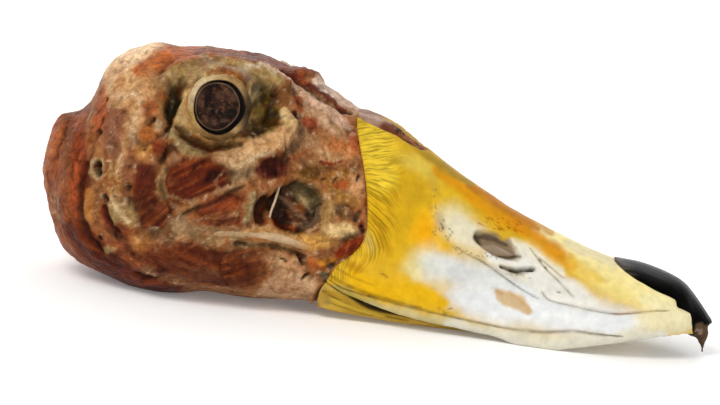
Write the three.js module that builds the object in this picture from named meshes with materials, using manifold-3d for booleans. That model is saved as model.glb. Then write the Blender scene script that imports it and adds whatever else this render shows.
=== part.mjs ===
// The head of a steamer duck, skinned but with its flesh, eyes and bill left on, lying still on
// its jaw and on the rims of its bill. Millimetres, +Z up, bill towards +X, and the origin on the
// floor under the middle of the head. Its two sides mirror each other across the plane y = 0.
import * as THREE from "three";
import { mergeVertices } from "three/addons/utils/BufferGeometryUtils.js";
import Module from "manifold-3d";

const wasm = await Module();
wasm.setup();

// Driving dimensions
const gap = 0.3; // between pieces that touch
const fineness = 0.1; // how far a face may lie from the true surface
const backOfNape = -62.6;
const tipOfBill = 57.15;
const widestCheek = 20.6; // half the width of the head
const eye = { x: -33.2, up: 33.4, across: 7.4, deep: 5.2, lens: 4.25, lensDepth: 2, bulge: 0.9, facets: 18 };
const sheathProud = 0.45; // how far the horn of the bill stands over the flesh behind it

// Places on a flank are given as x and a height up the flank, on a chart that leans outwards from
// the upright by this angle, which is how the side of the head faces an eye a little above it.
const chartLean = THREE.MathUtils.degToRad(10);
const chartLift = 2;

// A smooth curve through points of rising x, with no overshoot between them.
function smoothThrough(points) {
  const last = points.length - 1;
  const slopes = points.slice(1).map((p, i) => (p[1] - points[i][1]) / (p[0] - points[i][0]));
  const tangents = points.map((p, i) => {
    if (i === 0) return slopes[0];
    if (i === last) return slopes[last - 1];
    const product = slopes[i - 1] * slopes[i];
    return product <= 0 ? 0 : (2 * product) / (slopes[i - 1] + slopes[i]);
  });
  return (x) => {
    if (x <= points[0][0]) return points[0][1];
    if (x >= points[last][0]) return points[last][1];
    const i = points.findIndex((p) => p[0] > x) - 1;
    const span = points[i + 1][0] - points[i][0];
    const s = (x - points[i][0]) / span;
    const rise = s * s * (3 - 2 * s);
    const leave = s * (1 - s) * (1 - s);
    const arrive = -s * s * (1 - s);
    return (
      points[i][1] * (1 - rise) +
      points[i + 1][1] * rise +
      span * (tangents[i] * leave + tangents[i + 1] * arrive)
    );
  };
}

// The flesh of the head: heights of its top and underside, half its width, and where it is widest
const fleshTop = smoothThrough([
  [backOfNape, 18.3], [-62.1, 22.8], [-61.2, 26], [-60, 27.2], [-58, 27.9], [-56.4, 29.1], [-55.2, 31.4],
  [-54, 35.6], [-52.4, 38.1], [-49, 40.5], [-45.5, 41.7], [-40, 41.7], [-29.5, 41.7], [-24, 41],
  [-19, 39.7], [-15, 38.2], [-10, 35.5], [-5, 33.7], [0, 31.6], [6, 27.7],
]);
const fleshBottom = smoothThrough([
  [backOfNape, 18.3], [-62.1, 15.8], [-61.2, 13.1], [-59.5, 8], [-57, 3.7], [-54, 1.8], [-49, 0.3],
  [-44, -1], [-40, -1.4], [-36, -0.9], [-31, 0.2], [-25, 0], [-20, 0.3], [-14, 0.9], [-9, 1],
  [6, 3.5],
]);
const fleshHalf = smoothThrough([
  [backOfNape, 0], [-62.1, 4.6], [-61.2, 7.4], [-59.5, 10.4], [-57, 13.2], [-54, 15.4], [-49, 18],
  [-43, 19.9], [-36, widestCheek], [-30, 20.1], [-24, 18.2], [-18, 16.1], [-12, 14.7], [-4, 14.1],
  [6, 13.4],
]);
const fleshWaist = smoothThrough([
  [backOfNape, 18.3], [-58, 16.5], [-50, 15.5], [-38, 15], [-28, 13.5], [-20, 11], [-10, 8.5], [6, 6],
]);

// How boxy its sections are above and below that waist, where 2 is an ellipse
const fleshShoulder = smoothThrough([
  [-62, 2.1], [-50, 2.2], [-42, 2.6], [-30, 2.5], [-22, 2], [-16, 1.7], [-8, 1.5], [6, 1.45],
]);
const fleshKeel = smoothThrough([[-62, 2.1], [-50, 2.6], [-40, 3], [-25, 2.8], [-10, 2.6], [6, 2.6]]);

function fleshSection(x) {
  return {
    top: fleshTop(x),
    bottom: fleshBottom(x),
    half: fleshHalf(x),
    waist: fleshWaist(x),
    shoulder: fleshShoulder(x),
    keel: fleshKeel(x),
  };
}

// The bill: its ridge, the lower edge of its rims and half its width at the rims
const billRidge = smoothThrough([
  [-14, 37.2], [-10, 35.5], [-5, 34.1], [-2, 33.1], [0, 31.9], [5, 28.7], [10, 25.7], [15, 23.1], [20, 20.8],
  [25, 18.8], [30, 17], [35, 15.3], [39, 14.3], [43, 14], [47, 13.2], [50.5, 12], [53, 10.6], [55.5, 8.6],
  [57.2, 6.4],
]);
const billRim = smoothThrough([
  [-14, 8.6], [-10.5, 7], [-8, 5.7], [-4, 4.5], [0, 3.5], [5, 2.6], [10, 2.1], [15, 1.7], [20, 1.1],
  [24, 0.3], [29, 0.3], [33, 1.2], [36, 1.9], [39, 2.7], [42, 3.4], [45, 4], [49, 4.7], [52, 4.9],
  [54, 4.7],
]);
const billHalf = smoothThrough([
  [-14, 15], [-5, 14.6], [5, 14], [15, 13.3], [25, 13.2], [33, 13.4], [39, 13], [44, 11.9], [48, 9.9],
  [51, 7.6], [53, 5.2], [54.4, 2.2],
]);
const billShoulder = smoothThrough([[-14, 1.55], [0, 1.4], [15, 1.25], [30, 1.35], [42, 1.9], [54, 2.2]]);
const rimBead = 1.5; // height of the rounded bead along each rim
const rimThick = 1.9;
const palateRise = 2.6; // how far the roof of the mouth lies over the rims

// The horn of the lower jaw, nested between the rims, and the height of its underside
const lowerJaw = { front: 47.5, inset: 1.9, flare: 0.07, flareFrom: 10, clear: 0.35, shownTo: 8, edge: 0.6 };
const lowerFloor = smoothThrough([
  [-13, 1.9], [-9, 1.3], [-4, 0.95], [2, 0.5], [8, 0.35], [16, 0.35], [24, 0.5], [32, 0.9], [40, 2.4],
  [47.5, 4.4],
]);

// The nail, a shield of black horn over the tip of the bill that ends in a hook
const nail = { back: 39.2, proud: 0.35 };
const nailHalf = smoothThrough([
  [39.2, 0.4], [40, 1.7], [42, 3.2], [45, 4.5], [49, 5.5], [52, 5.7], [54, 5], [56, 2.9], [57.15, 0.7],
]);
const hookBottom = smoothThrough([
  [51.6, 4.2], [53, 2.85], [54, 2.4], [55, 1.8], [55.9, 0.55], [56.35, 0.15], [56.7, 1.8], [57.15, 3.9],
]);

// Half the width of a section at height z.
function halfWidth(section, z) {
  const above = z > section.waist;
  const share = above
    ? (z - section.waist) / (section.top - section.waist)
    : (section.waist - z) / (section.waist - section.bottom);
  const power = above ? section.shoulder : section.keel;
  return section.half * Math.sqrt(Math.max(0, 1 - Math.min(1, share) ** power));
}

// The point on the right side (negative y) of a section at a height up the chart, sunk by depth.
function sidePoint(section, x, up, depth) {
  let low = section.bottom;
  let high = section.top;
  for (let halving = 0; halving < 40; halving++) {
    const z = (low + high) / 2;
    const chart = z * Math.cos(chartLean) - halfWidth(section, z) * Math.sin(chartLean) + chartLift;
    if (chart < up) low = z;
    else high = z;
  }
  const across = halfWidth(section, low) - depth * Math.cos(chartLean);
  return new THREE.Vector3(x, -across, low - depth * Math.sin(chartLean));
}

function flankPoint(x, up, depth = 0) {
  return sidePoint(fleshSection(x), x, up, depth);
}

// A three.js geometry as a solid that can be joined and cut.
function solidFrom(geometry) {
  geometry.deleteAttribute("normal");
  geometry.deleteAttribute("uv");
  const merged = mergeVertices(geometry, 1e-4);
  return new wasm.Manifold(
    new wasm.Mesh({
      numProp: 3,
      vertProperties: merged.attributes.position.array,
      triVerts: new Uint32Array(merged.index.array),
    }),
  );
}

// A closed skin over rings of points, each ring turning the same way, with a fan at each end.
function skinOver(rings) {
  const count = rings[0].length;
  const corners = [];
  const faces = [];
  rings.forEach((ring) => ring.forEach((p) => corners.push(...p)));
  for (let r = 0; r + 1 < rings.length; r++)
    for (let i = 0; i < count; i++) {
      const a = r * count + i;
      const b = r * count + ((i + 1) % count);
      faces.push(a, b, a + count, b, b + count, a + count);
    }
  [0, rings.length - 1].forEach((r) => {
    const middle = [0, 1, 2].map((k) => rings[r].reduce((sum, p) => sum + p[k], 0) / count);
    const hub = corners.length / 3;
    corners.push(...middle);
    for (let i = 0; i < count; i++) {
      const a = r * count + i;
      const b = r * count + ((i + 1) % count);
      if (r === 0) faces.push(hub, b, a);
      else faces.push(hub, a, b);
    }
  });
  const geometry = new THREE.BufferGeometry();
  geometry.setAttribute("position", new THREE.Float32BufferAttribute(corners, 3));
  geometry.setIndex(faces);
  return solidFrom(geometry);
}

// One ring of a section, from its left side over the top.
function ringOf(section, x, count, grow = 0) {
  const ring = [];
  for (let i = 0; i < count; i++) {
    const turn = (2 * Math.PI * i) / count;
    const across = Math.cos(turn);
    const rise = Math.sin(turn);
    const power = rise > 0 ? section.shoulder : section.keel;
    const height = rise > 0 ? section.top - section.waist + grow : section.waist - section.bottom + grow;
    ring.push([
      x,
      (section.half + grow) * across,
      section.waist + Math.sign(rise) * height * Math.abs(rise) ** (2 / power),
    ]);
  }
  return ring;
}

// An ellipsoid whose places and radii are given as [x, y, z], of a number of facets round it.
function ellipsoid(centre, radii, facets, turn = new THREE.Quaternion()) {
  const ball = new THREE.SphereGeometry(1, facets, Math.round(facets * 0.6));
  const place = new THREE.Matrix4().compose(new THREE.Vector3(...centre), turn, new THREE.Vector3(...radii));
  return solidFrom(ball.applyMatrix4(place));
}

// A turn about the axis that runs from side to side.
function nod(angle) {
  return new THREE.Quaternion().setFromAxisAngle(new THREE.Vector3(0, 1, 0), angle);
}

// A round bar along points, whose radius is given at each share of its length.
function barAlong(points, radiusAt, steps, sides = 8) {
  const line = new THREE.CatmullRomCurve3(points);
  const frames = line.computeFrenetFrames(steps, false);
  const rings = [];
  for (let i = 0; i <= steps; i++) {
    const centre = line.getPointAt(i / steps);
    const radius = radiusAt(i / steps);
    const ring = [];
    for (let k = 0; k < sides; k++) {
      const turn = (2 * Math.PI * k) / sides;
      const p = centre
        .clone()
        .addScaledVector(frames.normals[i], radius * Math.cos(turn))
        .addScaledVector(frames.binormals[i], radius * Math.sin(turn));
      ring.push(p.toArray());
    }
    rings.push(ring);
  }
  return skinOver(rings);
}

// A wall that stands on an outline of [x, z] points, right through the head from side to side.
function sidePrism(outline, halfThickness = 40) {
  const shape = new THREE.Shape(outline.map(([x, z]) => new THREE.Vector2(x, z)));
  const block = new THREE.ExtrudeGeometry(shape, { depth: 2 * halfThickness, bevelEnabled: false });
  return solidFrom(block.rotateX(Math.PI / 2).translate(0, halfThickness, 0));
}

// The same for an outline of [x, y] points, between two heights.
function planPrism(outline, from, to) {
  const shape = new THREE.Shape(outline.map(([x, y]) => new THREE.Vector2(x, y)));
  const block = new THREE.ExtrudeGeometry(shape, { depth: to - from, bevelEnabled: false });
  return solidFrom(block.translate(0, 0, from));
}

// A thin upright cut along an open line of [x, z] points.
function cutAlong(line, halfThickness = 40) {
  const side = (sign) =>
    line.map((p, i) => {
      const before = line[Math.max(0, i - 1)];
      const after = line[Math.min(line.length - 1, i + 1)];
      const along = new THREE.Vector2(after[0] - before[0], after[1] - before[1]).normalize();
      return [p[0] - (sign * along.y * gap) / 2, p[1] + (sign * along.x * gap) / 2];
    });
  return sidePrism([...side(1), ...side(-1).reverse()], halfThickness);
}

const mirrored = (solid) => solid.mirror([0, 1, 0]);
const bothSides = (solid) => solid.add(mirrored(solid));
const joined = (solids) => solids.reduce((all, solid) => all.add(solid));
const aboveFloor = sidePrism([[-90, 0], [90, 0], [90, 80], [-90, 80]]);

// The largest closed body of a solid.
function largest(solid) {
  return solid.decompose().reduce((best, body) => (body.volume() > best.volume() ? body : best));
}

// Where the horn of the bill begins on a flank, from the ridge down to the corner of the mouth
const hornEdge = [
  [-9.6, 60], [-9.5, 36], [-9.4, 34], [-8.4, 30.5], [-7.2, 27], [-6.2, 23.5], [-5.5, 20], [-5.1, 16.5],
  [-5.6, 14], [-7.4, 11.4], [-9.6, 9.2], [-10.6, 7.4], [-11.9, 4.5], [-12.6, -5],
];

// All that lies before that edge, which is moved forwards by clear.
function beforeHornEdge(clear) {
  return sidePrism([...hornEdge.map(([x, z]) => [x + clear, z]), [70, -5], [70, 60]]);
}

function fleshBody() {
  const stations = [
    -62.6, -62.45, -62.1, -61.5, -60.7, -59.6, -58.3, -57.1, -56.2, -55.5, -54.9, -54.3, -53.5, -52.3,
    -50.4, -48, -45.5, -43, -40.5, -38, -35.5, -33, -30.5, -28, -25.5, -23, -20.5, -18, -15.5, -13,
    -10.5, -8, -5.5, -3,
  ];
  const sides = 32;
  return skinOver(stations.map((x) => ringOf(fleshSection(x), Math.max(x, backOfNape + 0.02), sides)));
}

// Raised forms of one flank: brow, the arch under the eye, the chewing muscles and the jaw
function flankRelief() {
  const bar = (places, depth, thick, taper = 0.55) =>
    barAlong(
      places.map(([x, up]) => flankPoint(x, up, depth)),
      (s) => thick * (taper + (1 - taper) * Math.sin(Math.PI * s)),
      10,
    );
  const pad = (x, up, depth, radii, turn) => ellipsoid(flankPoint(x, up, depth), radii, 10, nod(turn));
  return joined([
    bar([[-44, 33], [-42.5, 37.2], [-38, 39.7], [-31, 40.2], [-25, 39.5], [-21.4, 37]], 1.3, 1.7),
    bar([[-19.6, 32.5], [-22.5, 29.5], [-27, 26.6], [-32, 24.2], [-38, 24.6], [-42.6, 27.6]], 1.2, 2.4),
    pad(-33, 19.5, 2.6, [8.6, 3.4, 4.6], 0.35),
    pad(-43.6, 17.5, 2.6, [3.6, 3.3, 6.8], -0.1),
    pad(-49.5, 15, 2.4, [3, 3, 6.2], 0.2),
    pad(-28, 6.8, 2.4, [8.6, 3.2, 3], 0),
    pad(-11, 25, 1.9, [4.6, 2.4, 3.6], 0.2),
    pad(-9.8, 12.6, 1.6, [4.2, 2.2, 2.4], 0.4),
  ]);
}

// Hollows of one flank: the open part of the orbit, the two windows before the jaw, and the ear
function flankHollows() {
  const hollow = (x, up, depth, radii, turn = 0) => ellipsoid(flankPoint(x, up, depth), radii, 12, nod(turn));
  return joined([
    hollow(eye.x + 0.7, eye.up - 0.2, -0.6, [9.6, 5.2, 7.4]),
    hollow(-25.6, 32.6, 0.2, [4, 5, 5.4], -0.2),
    hollow(-40.9, 33.8, 0.4, [1.9, 3, 3.6]),
    hollow(-17.2, 18.6, 0.2, [4.7, 4.4, 4]),
    hollow(-23.2, 17, 0.4, [2.6, 3, 3.2]),
    hollow(-8.6, 18.6, 0, [2.2, 1.3, 1.6]),
    hollow(-52.2, 20, 0, [0.95, 2.4, 1.35]),
  ]);
}

const outwards = new THREE.Vector3(0, -Math.cos(chartLean), Math.sin(chartLean));
const lookingOut = new THREE.Quaternion().setFromUnitVectors(new THREE.Vector3(0, 1, 0), outwards);

function eyeCentre() {
  return flankPoint(eye.x, eye.up, eye.deep - eye.bulge);
}

// The flattened ball of the eye, its short axis looking out of the flank.
function eyeShape(grow) {
  const radii = [eye.across + grow, eye.deep + grow, eye.across + grow];
  return ellipsoid(eyeCentre(), radii, eye.facets, lookingOut);
}

// A round peg that looks out of the flank, from below the eye's front to over it.
function lensPeg(radius, from, to) {
  const peg = new THREE.CylinderGeometry(radius, radius, to - from, 24);
  const middle = eyeCentre().addScaledVector(outwards, (from + to) / 2);
  return solidFrom(peg.applyQuaternion(lookingOut).translate(middle.x, middle.y, middle.z));
}

const jugalPlaces = [[-44.5, 9.9], [-39, 10.7], [-33, 11.5], [-26, 12.5], [-20, 12.5], [-14.6, 11.6]];

function jugalBar(grow = 0) {
  return barAlong(
    jugalPlaces.map(([x, up]) => flankPoint(x, up, 0.35)),
    (s) => 0.75 + 0.6 * (1 - s) + grow,
    14,
  );
}

function tendon(grow = 0) {
  const places = [[-20.9, 21.6, 1.6], [-21.3, 19, 1.3], [-21.8, 16.6, 1], [-22, 14.2, 0.9]];
  return barAlong(
    places.map(([x, up, depth]) => flankPoint(x, up, depth)),
    () => 0.3 + grow,
    8,
    6,
  );
}

// A lump of torn skin on the forehead
function foreheadLump() {
  const scraps = [
    { at: [-18.4, 0, 39.1], radii: [2.4, 2.6, 1.3] },
    { at: [-16.3, 0, 38.4], radii: [1.6, 2.2, 1.6] },
    { at: [-20.6, 0, 40.1], radii: [1.2, 1.3, 0.8] },
  ];
  return joined(scraps.map((scrap) => ellipsoid(scrap.at, scrap.radii, 10)));
}

// The whole flesh, before it is parted
function sculptedFlesh() {
  return fleshBody()
    .add(bothSides(flankRelief()))
    .subtract(bothSides(joined([flankHollows(), eyeShape(gap), jugalBar(gap), tendon(gap)])))
    .add(foreheadLump())
    .subtract(beforeHornEdge(0))
    .intersect(aboveFloor);
}

// Lines that part the flesh, each from outside the head to outside it or to another line
const partings = {
  nape: [
    [-57.5, 50], [-54.2, 37], [-52.9, 31], [-54.4, 24], [-54.6, 17], [-52.9, 11], [-49, 6.2], [-44, 2.4],
    [-40, -6],
  ],
  underEye: [
    [-53.95, 26.6], [-48, 25.6], [-41, 24.8], [-34, 22.6], [-26.4, 22.4], [-21.6, 25.6], [-18.6, 32],
    [-19.6, 38], [-23, 50],
  ],
  cheekFront: [[-26.6, 22.6], [-26.2, 16], [-26.4, 9.4]],
  jaw: [[-50.75, 8.3], [-44, 8.7], [-33, 9.2], [-22, 10], [-13, 9.6], [-6, 7.6]],
};

// A point inside each part of the flesh, by which its body is found after the cuts
const fleshParts = {
  cranium: [-38, 0, 34],
  nape_muscle: [-58, 0, 15],
  cheek: [-40, -10, 14],
  face: [-15, 0, 24],
  jaw_flesh: [-30, 0, 5],
};

function partedFlesh() {
  const walls = joined(Object.values(partings).map((line) => cutAlong(line)));
  const bodies = sculptedFlesh().subtract(walls).decompose();
  const found = {};
  for (const [name, place] of Object.entries(fleshParts)) {
    const seed = ellipsoid(place, [1, 1, 1], 6);
    found[name] = bodies.find((body) => body.intersect(seed).volume() > 0.1);
  }
  found.cheek = largest(found.cheek.trimByPlane([0, -1, 0], gap / 2));
  return found;
}

// One section of the upper bill, from the ridge down the left side, under and back up the right
function billRing(x, grow) {
  const ridge = billRidge(x) + grow;
  const rim = billRim(x);
  const half = billHalf(x) + grow;
  const waist = rim + rimBead;
  const wall = 11; // points from the ridge to the rim
  const side = [];
  for (let i = 0; i <= wall; i++) {
    const turn = (Math.PI / 2) * (1 - i / wall);
    const rise = Math.sin(turn) ** (2 / billShoulder(x));
    side.push([half * Math.cos(turn), waist + (ridge - waist) * rise]);
  }
  const thick = Math.min(rimThick, half * 0.3);
  const roof = Math.min(rim + palateRise, waist + (ridge - waist) * 0.35);
  side.push([half - 0.35, rim + 0.45], [half - thick * 0.5, rim - grow], [half - thick, rim + 0.35]);
  side.push([half - thick - 0.3, roof], [half * 0.4, roof]);
  const other = side.slice(1).reverse().map(([y, z]) => [-y, z]);
  return [...side, ...other].map(([y, z]) => [x, y, z]);
}

function billBody(grow) {
  const stations = [
    -13, -10, -7, -4, -1, 2, 5, 8, 11, 14, 17, 20, 23, 26, 29, 32, 35, 38, 40.5, 43, 45, 47, 48.7, 50.2,
    51.5, 52.6, 53.5, 54.1,
  ];
  return skinOver(stations.map((x) => billRing(x, grow).reverse()));
}

// The region of the nail, in plan and from the side, enlarged by grow
function nailRegion(grow) {
  const steps = 14;
  const left = [];
  for (let i = 0; i <= steps; i++) {
    const x = nail.back + ((tipOfBill - nail.back) * i) / steps;
    left.push([x + (i === 0 ? -grow : 0), nailHalf(x) + grow]);
  }
  left.push([tipOfBill + 3, nailHalf(tipOfBill) + grow]);
  const plan = planPrism([...left, ...left.map(([x, y]) => [x, -y]).reverse()], -1, 40);
  const under = [[38, 14.4], [41, 12.6], [45, 10.9], [49, 9.2], [52, 7.3]].map(([x, z]) => [x, z - grow]);
  const front = [[52.7 - grow, 4], [52.8 - grow, -3], [62, -3], [62, 30], [38, 30]];
  return plan.intersect(sidePrism([...under, ...front]));
}

// One section of the nail and its hook: broad above, narrowing to the point of the hook
function nailRing(x) {
  const ridge = billRidge(x) + nail.proud;
  const bottom = Math.min(hookBottom(x), ridge - 1);
  const half = Math.max(nailHalf(x), 0.5) + 1.4;
  const waist = bottom + (ridge - bottom) * 0.45;
  return ringOf({ top: ridge, bottom, half, waist, shoulder: 2.1, keel: 1.5 }, x, 20);
}

function nailBody() {
  const stations = [51.6, 52.6, 53.6, 54.6, 55.4, 56, 56.4, 56.8, tipOfBill];
  const hook = skinOver(stations.map((x) => nailRing(x)));
  const shield = billBody(nail.proud);
  return largest(shield.add(hook).intersect(nailRegion(0)).intersect(aboveFloor));
}

// The strip of feathered skin that runs out along the ridge of the bill, in plan
const ridgeStrip = { back: -9.2, tip: 4.2, half: 3.9, deep: 2.4, proud: 0.25 };

function ridgeRegion(grow) {
  const { back, tip, half } = ridgeStrip;
  const left = [
    [back - grow, half + grow],
    [-5, half * 0.86 + grow],
    [-1, half * 0.5 + grow],
    [tip + 2 * grow, 0.35 + grow],
  ];
  return planPrism([...left, ...left.map(([x, y]) => [x, -y]).reverse()], 24, 45);
}

// The ridge strip lies in a notch of even depth
function ridgeSkin() {
  const strip = billBody(ridgeStrip.proud).intersect(ridgeRegion(0)).intersect(beforeHornEdge(gap));
  return largest(strip.subtract(billBody(-ridgeStrip.deep + gap)));
}

// Hollows of one side of the upper bill: the nostril and the slit under it
function nostrils() {
  const places = [
    { x: 17.8, up: 16.2, radii: [4.5, 2.2, 1.35], turn: 0.4 },
    { x: 22.3, up: 12.8, radii: [2.5, 1.2, 0.5], turn: -0.2 },
  ];
  return joined(
    places.map(({ x, up, radii, turn }) => {
      const section = {
        top: billRidge(x),
        bottom: billRim(x),
        half: billHalf(x),
        waist: billRim(x) + rimBead,
        shoulder: billShoulder(x),
        keel: 2,
      };
      return ellipsoid(sidePoint(section, x, up, -0.3), radii, 14, nod(turn));
    }),
  );
}

function upperBill() {
  const notch = ridgeRegion(gap).subtract(billBody(-ridgeStrip.deep));
  const body = billBody(sheathProud).intersect(beforeHornEdge(gap)).subtract(nailRegion(gap)).subtract(notch);
  return largest(body.subtract(bothSides(nostrils())).intersect(aboveFloor));
}

// One section of the lower jaw: a broad trough turned down, flat beneath
function lowerBillRing(x) {
  const { inset, flare, flareFrom, clear, shownTo, edge } = lowerJaw;
  const widened = billHalf(x) - inset + Math.max(0, flareFrom - x) * flare;
  const half = Math.min(widened, billHalf(x) - clear);
  const underPalate = billRim(x) + palateRise - gap;
  const top = x < shownTo ? Math.min(underPalate, billRim(x) - clear) : billRim(x) + palateRise * 0.7;
  const floor = Math.min(lowerFloor(x), top - 2 * edge);
  const side = [
    [half * 0.5, top],
    [half - 0.8, top],
    [half, top - edge],
    [half - 0.5, (top + floor) / 2],
    [half - 2.2, floor],
    [half * 0.55, floor],
    [half * 0.44, floor + edge],
  ];
  const other = side.map(([y, z]) => [-y, z]).reverse();
  return [...side, ...other].map(([y, z]) => [x, y, z]);
}

function lowerBill() {
  const stations = [-13, -9, -5, -1, 3, 7, 11, 15, 20, 25, 30, 35, 39, 42, 44.5, 46.3, lowerJaw.front];
  const body = skinOver(stations.map((x) => lowerBillRing(x).reverse()));
  return largest(body.intersect(beforeHornEdge(gap)).intersect(aboveFloor));
}

function eyeball() {
  return eyeShape(0).subtract(lensPeg(eye.lens + gap, eye.deep - eye.lensDepth, eye.deep + 2));
}

// A dried lens, dished a little, in the front of the eye
function lens() {
  return lensPeg(eye.lens, eye.deep - eye.lensDepth + gap, eye.deep + 2).intersect(eyeShape(-0.4));
}

const materials = {
  bone: new THREE.MeshStandardMaterial({ color: 0xcbb48d, roughness: 0.55 }),
  flesh: new THREE.MeshStandardMaterial({ color: 0x8a3f22, roughness: 0.5 }),
  fat: new THREE.MeshStandardMaterial({ color: 0xb79b72, roughness: 0.5 }),
  eyeWhite: new THREE.MeshStandardMaterial({ color: 0xa8956c, roughness: 0.35 }),
  lens: new THREE.MeshStandardMaterial({ color: 0x2e1e17, roughness: 0.4 }),
  horn: new THREE.MeshStandardMaterial({ color: 0xe3b932, roughness: 0.5 }),
  blackHorn: new THREE.MeshStandardMaterial({ color: 0x15130f, roughness: 0.35 }),
};

function meshOf(name, solid, material) {
  const made = solid.simplify(fineness).getMesh();
  const geometry = new THREE.BufferGeometry();
  geometry.setAttribute("position", new THREE.Float32BufferAttribute(made.vertProperties, 3));
  geometry.setIndex([...made.triVerts]);
  geometry.computeVertexNormals();
  const mesh = new THREE.Mesh(geometry, material);
  mesh.name = name;
  return mesh;
}

const flesh = partedFlesh();
const single = {
  cranium: [flesh.cranium, materials.bone],
  face: [flesh.face, materials.bone],
  nape_muscle: [flesh.nape_muscle, materials.flesh],
  jaw_flesh: [flesh.jaw_flesh, materials.fat],
  bill_upper: [upperBill(), materials.horn],
  bill_lower: [lowerBill(), materials.horn],
  bill_nail: [nailBody(), materials.blackHorn],
  ridge_skin: [ridgeSkin(), materials.flesh],
};
const paired = {
  cheek: [flesh.cheek, materials.flesh],
  eyeball: [eyeball(), materials.eyeWhite],
  lens: [lens(), materials.lens],
  jugal_bar: [jugalBar(), materials.bone],
  tendon: [tendon(), materials.fat],
};

const head = new THREE.Group();
for (const [name, [solid, material]] of Object.entries(single)) head.add(meshOf(name, solid, material));
for (const [name, [solid, material]] of Object.entries(paired)) {
  head.add(meshOf(`${name}_right`, solid, material));
  head.add(meshOf(`${name}_left`, mirrored(solid), material));
}

// The origin lies under the middle of the head
const reach = new THREE.Box3().setFromObject(head);
head.position.x = -(reach.min.x + reach.max.x) / 2;

export default head;
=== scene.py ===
import math

import bpy
import numpy as np
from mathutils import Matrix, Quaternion, Vector


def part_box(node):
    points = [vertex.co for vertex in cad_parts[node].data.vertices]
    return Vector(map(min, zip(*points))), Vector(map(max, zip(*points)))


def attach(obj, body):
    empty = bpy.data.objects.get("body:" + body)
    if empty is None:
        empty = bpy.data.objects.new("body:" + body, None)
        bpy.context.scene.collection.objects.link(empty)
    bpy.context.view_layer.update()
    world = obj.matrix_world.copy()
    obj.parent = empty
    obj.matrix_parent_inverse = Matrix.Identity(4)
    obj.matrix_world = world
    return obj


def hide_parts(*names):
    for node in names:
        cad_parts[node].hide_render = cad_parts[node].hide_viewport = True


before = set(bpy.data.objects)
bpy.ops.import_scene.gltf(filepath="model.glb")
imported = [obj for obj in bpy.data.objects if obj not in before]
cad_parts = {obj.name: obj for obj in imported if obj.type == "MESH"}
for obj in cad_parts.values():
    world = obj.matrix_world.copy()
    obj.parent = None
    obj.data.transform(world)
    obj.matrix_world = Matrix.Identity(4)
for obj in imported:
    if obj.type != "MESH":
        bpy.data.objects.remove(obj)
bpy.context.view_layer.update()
mm = 0.001
backOfNape = -62.58
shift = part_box("nape_muscle")[0][0] / mm - backOfNape  # from the chart's x to the frame's x
chartLean = math.radians(10)  # a side of the head is charted as seen from this far above level
chartLift = 2
sideUp = np.array([0, math.sin(chartLean), math.cos(chartLean)])  # up and outwards on the right side's chart
sideOut = np.array([0, -math.cos(chartLean), math.sin(chartLean)])
print("frame loaded, shift", round(shift, 3))

studio = {
    "target": (-6.9, 0, 18.7), "distance": 700, "elevation": 10, "roll": 7.8, "across": 126,
    "sensor": 36, "floorRadius": 1500, "bend": 500, "wall": 1700, "sides": 96,
    "floorColour": "#ffffff", "floorGlow": 0.12, "sky": "#ffffff", "skyStrength": 0.31,
    "lights": [
        {"name": "key", "at": (-330, -560, 640), "size": 420, "power": 4.45, "colour": "#fffcf6"},
        {"name": "fill", "at": (520, -520, 240), "size": 500, "power": 1.1, "colour": "#f2f6ff"},
        {"name": "rim", "at": (120, 560, 520), "size": 450, "power": 1.3, "colour": "#ffffff"},
        {"name": "backdrop", "at": (0, 650, 750), "aim": (0, 1900, 100), "size": 900, "power": 16,
         "colour": "#ffffff"},
    ],
}


# Helpers for curves, noise and masks

def smoothThrough(points):
    xs, ys = np.array(points, float).T
    slopes = np.diff(ys) / np.diff(xs)
    product = slopes[:-1] * slopes[1:]
    total = np.where(product > 0, slopes[:-1] + slopes[1:], 1)
    tangents = np.concatenate([slopes[:1], np.where(product > 0, 2 * product / total, 0), slopes[-1:]])

    def curve(x):
        x = np.clip(x, xs[0], xs[-1])
        i = np.clip(np.searchsorted(xs, x, side="right") - 1, 0, len(xs) - 2)
        span = xs[i + 1] - xs[i]
        s = (x - xs[i]) / span
        rise = s * s * (3 - 2 * s)
        bend = tangents[i] * s * (1 - s) ** 2 - tangents[i + 1] * s * s * (1 - s)
        return ys[i] * (1 - rise) + ys[i + 1] * rise + span * bend

    return curve


def smoothStep(low, high, value):
    s = np.clip((value - low) / (high - low), 0, 1)
    return s * s * (3 - 2 * s)


def cloud(points, size, seed):  # smooth noise from -1 to 1 with lumps of that size; each use has its own seed
    cells = 32  # the noise repeats after so many lumps, too many to notice
    table = np.random.default_rng(seed).uniform(-1, 1, (cells, cells, cells))
    place = points / size + 7.3 * seed
    cell = np.floor(place).astype(int)
    s = place - cell
    s = s * s * (3 - 2 * s)
    total = 0
    for corner in np.ndindex(2, 2, 2):
        share = np.prod(np.where(corner, s, 1 - s), axis=-1)
        i, j, k = np.moveaxis((cell + corner) % cells, -1, 0)
        total = total + share * table[i, j, k]
    return total


def clouds(points, size, seed, layers=3):
    parts = [cloud(points, size / 2 ** n, seed + n) / 2 ** n for n in range(layers)]
    return sum(parts) / (2 - 2 ** (1 - layers))


def drift(points, size, seed, layers=3):  # two clouds that shift places on a chart, so that edges run ragged
    return np.stack([clouds(points, size, seed, layers), clouds(points, size, seed + 4, layers)], axis=-1)


def spotMask(at, place, radii, turn=0, soft=0.4):
    c, s = math.cos(math.radians(turn)), math.sin(math.radians(turn))
    dx, du = at[..., 0] - place[0], at[..., 1] - place[1]
    far = np.hypot((dx * c + du * s) / radii[0], (du * c - dx * s) / radii[1])
    return 1 - smoothStep(1 - soft, 1 + soft, far)


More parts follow.
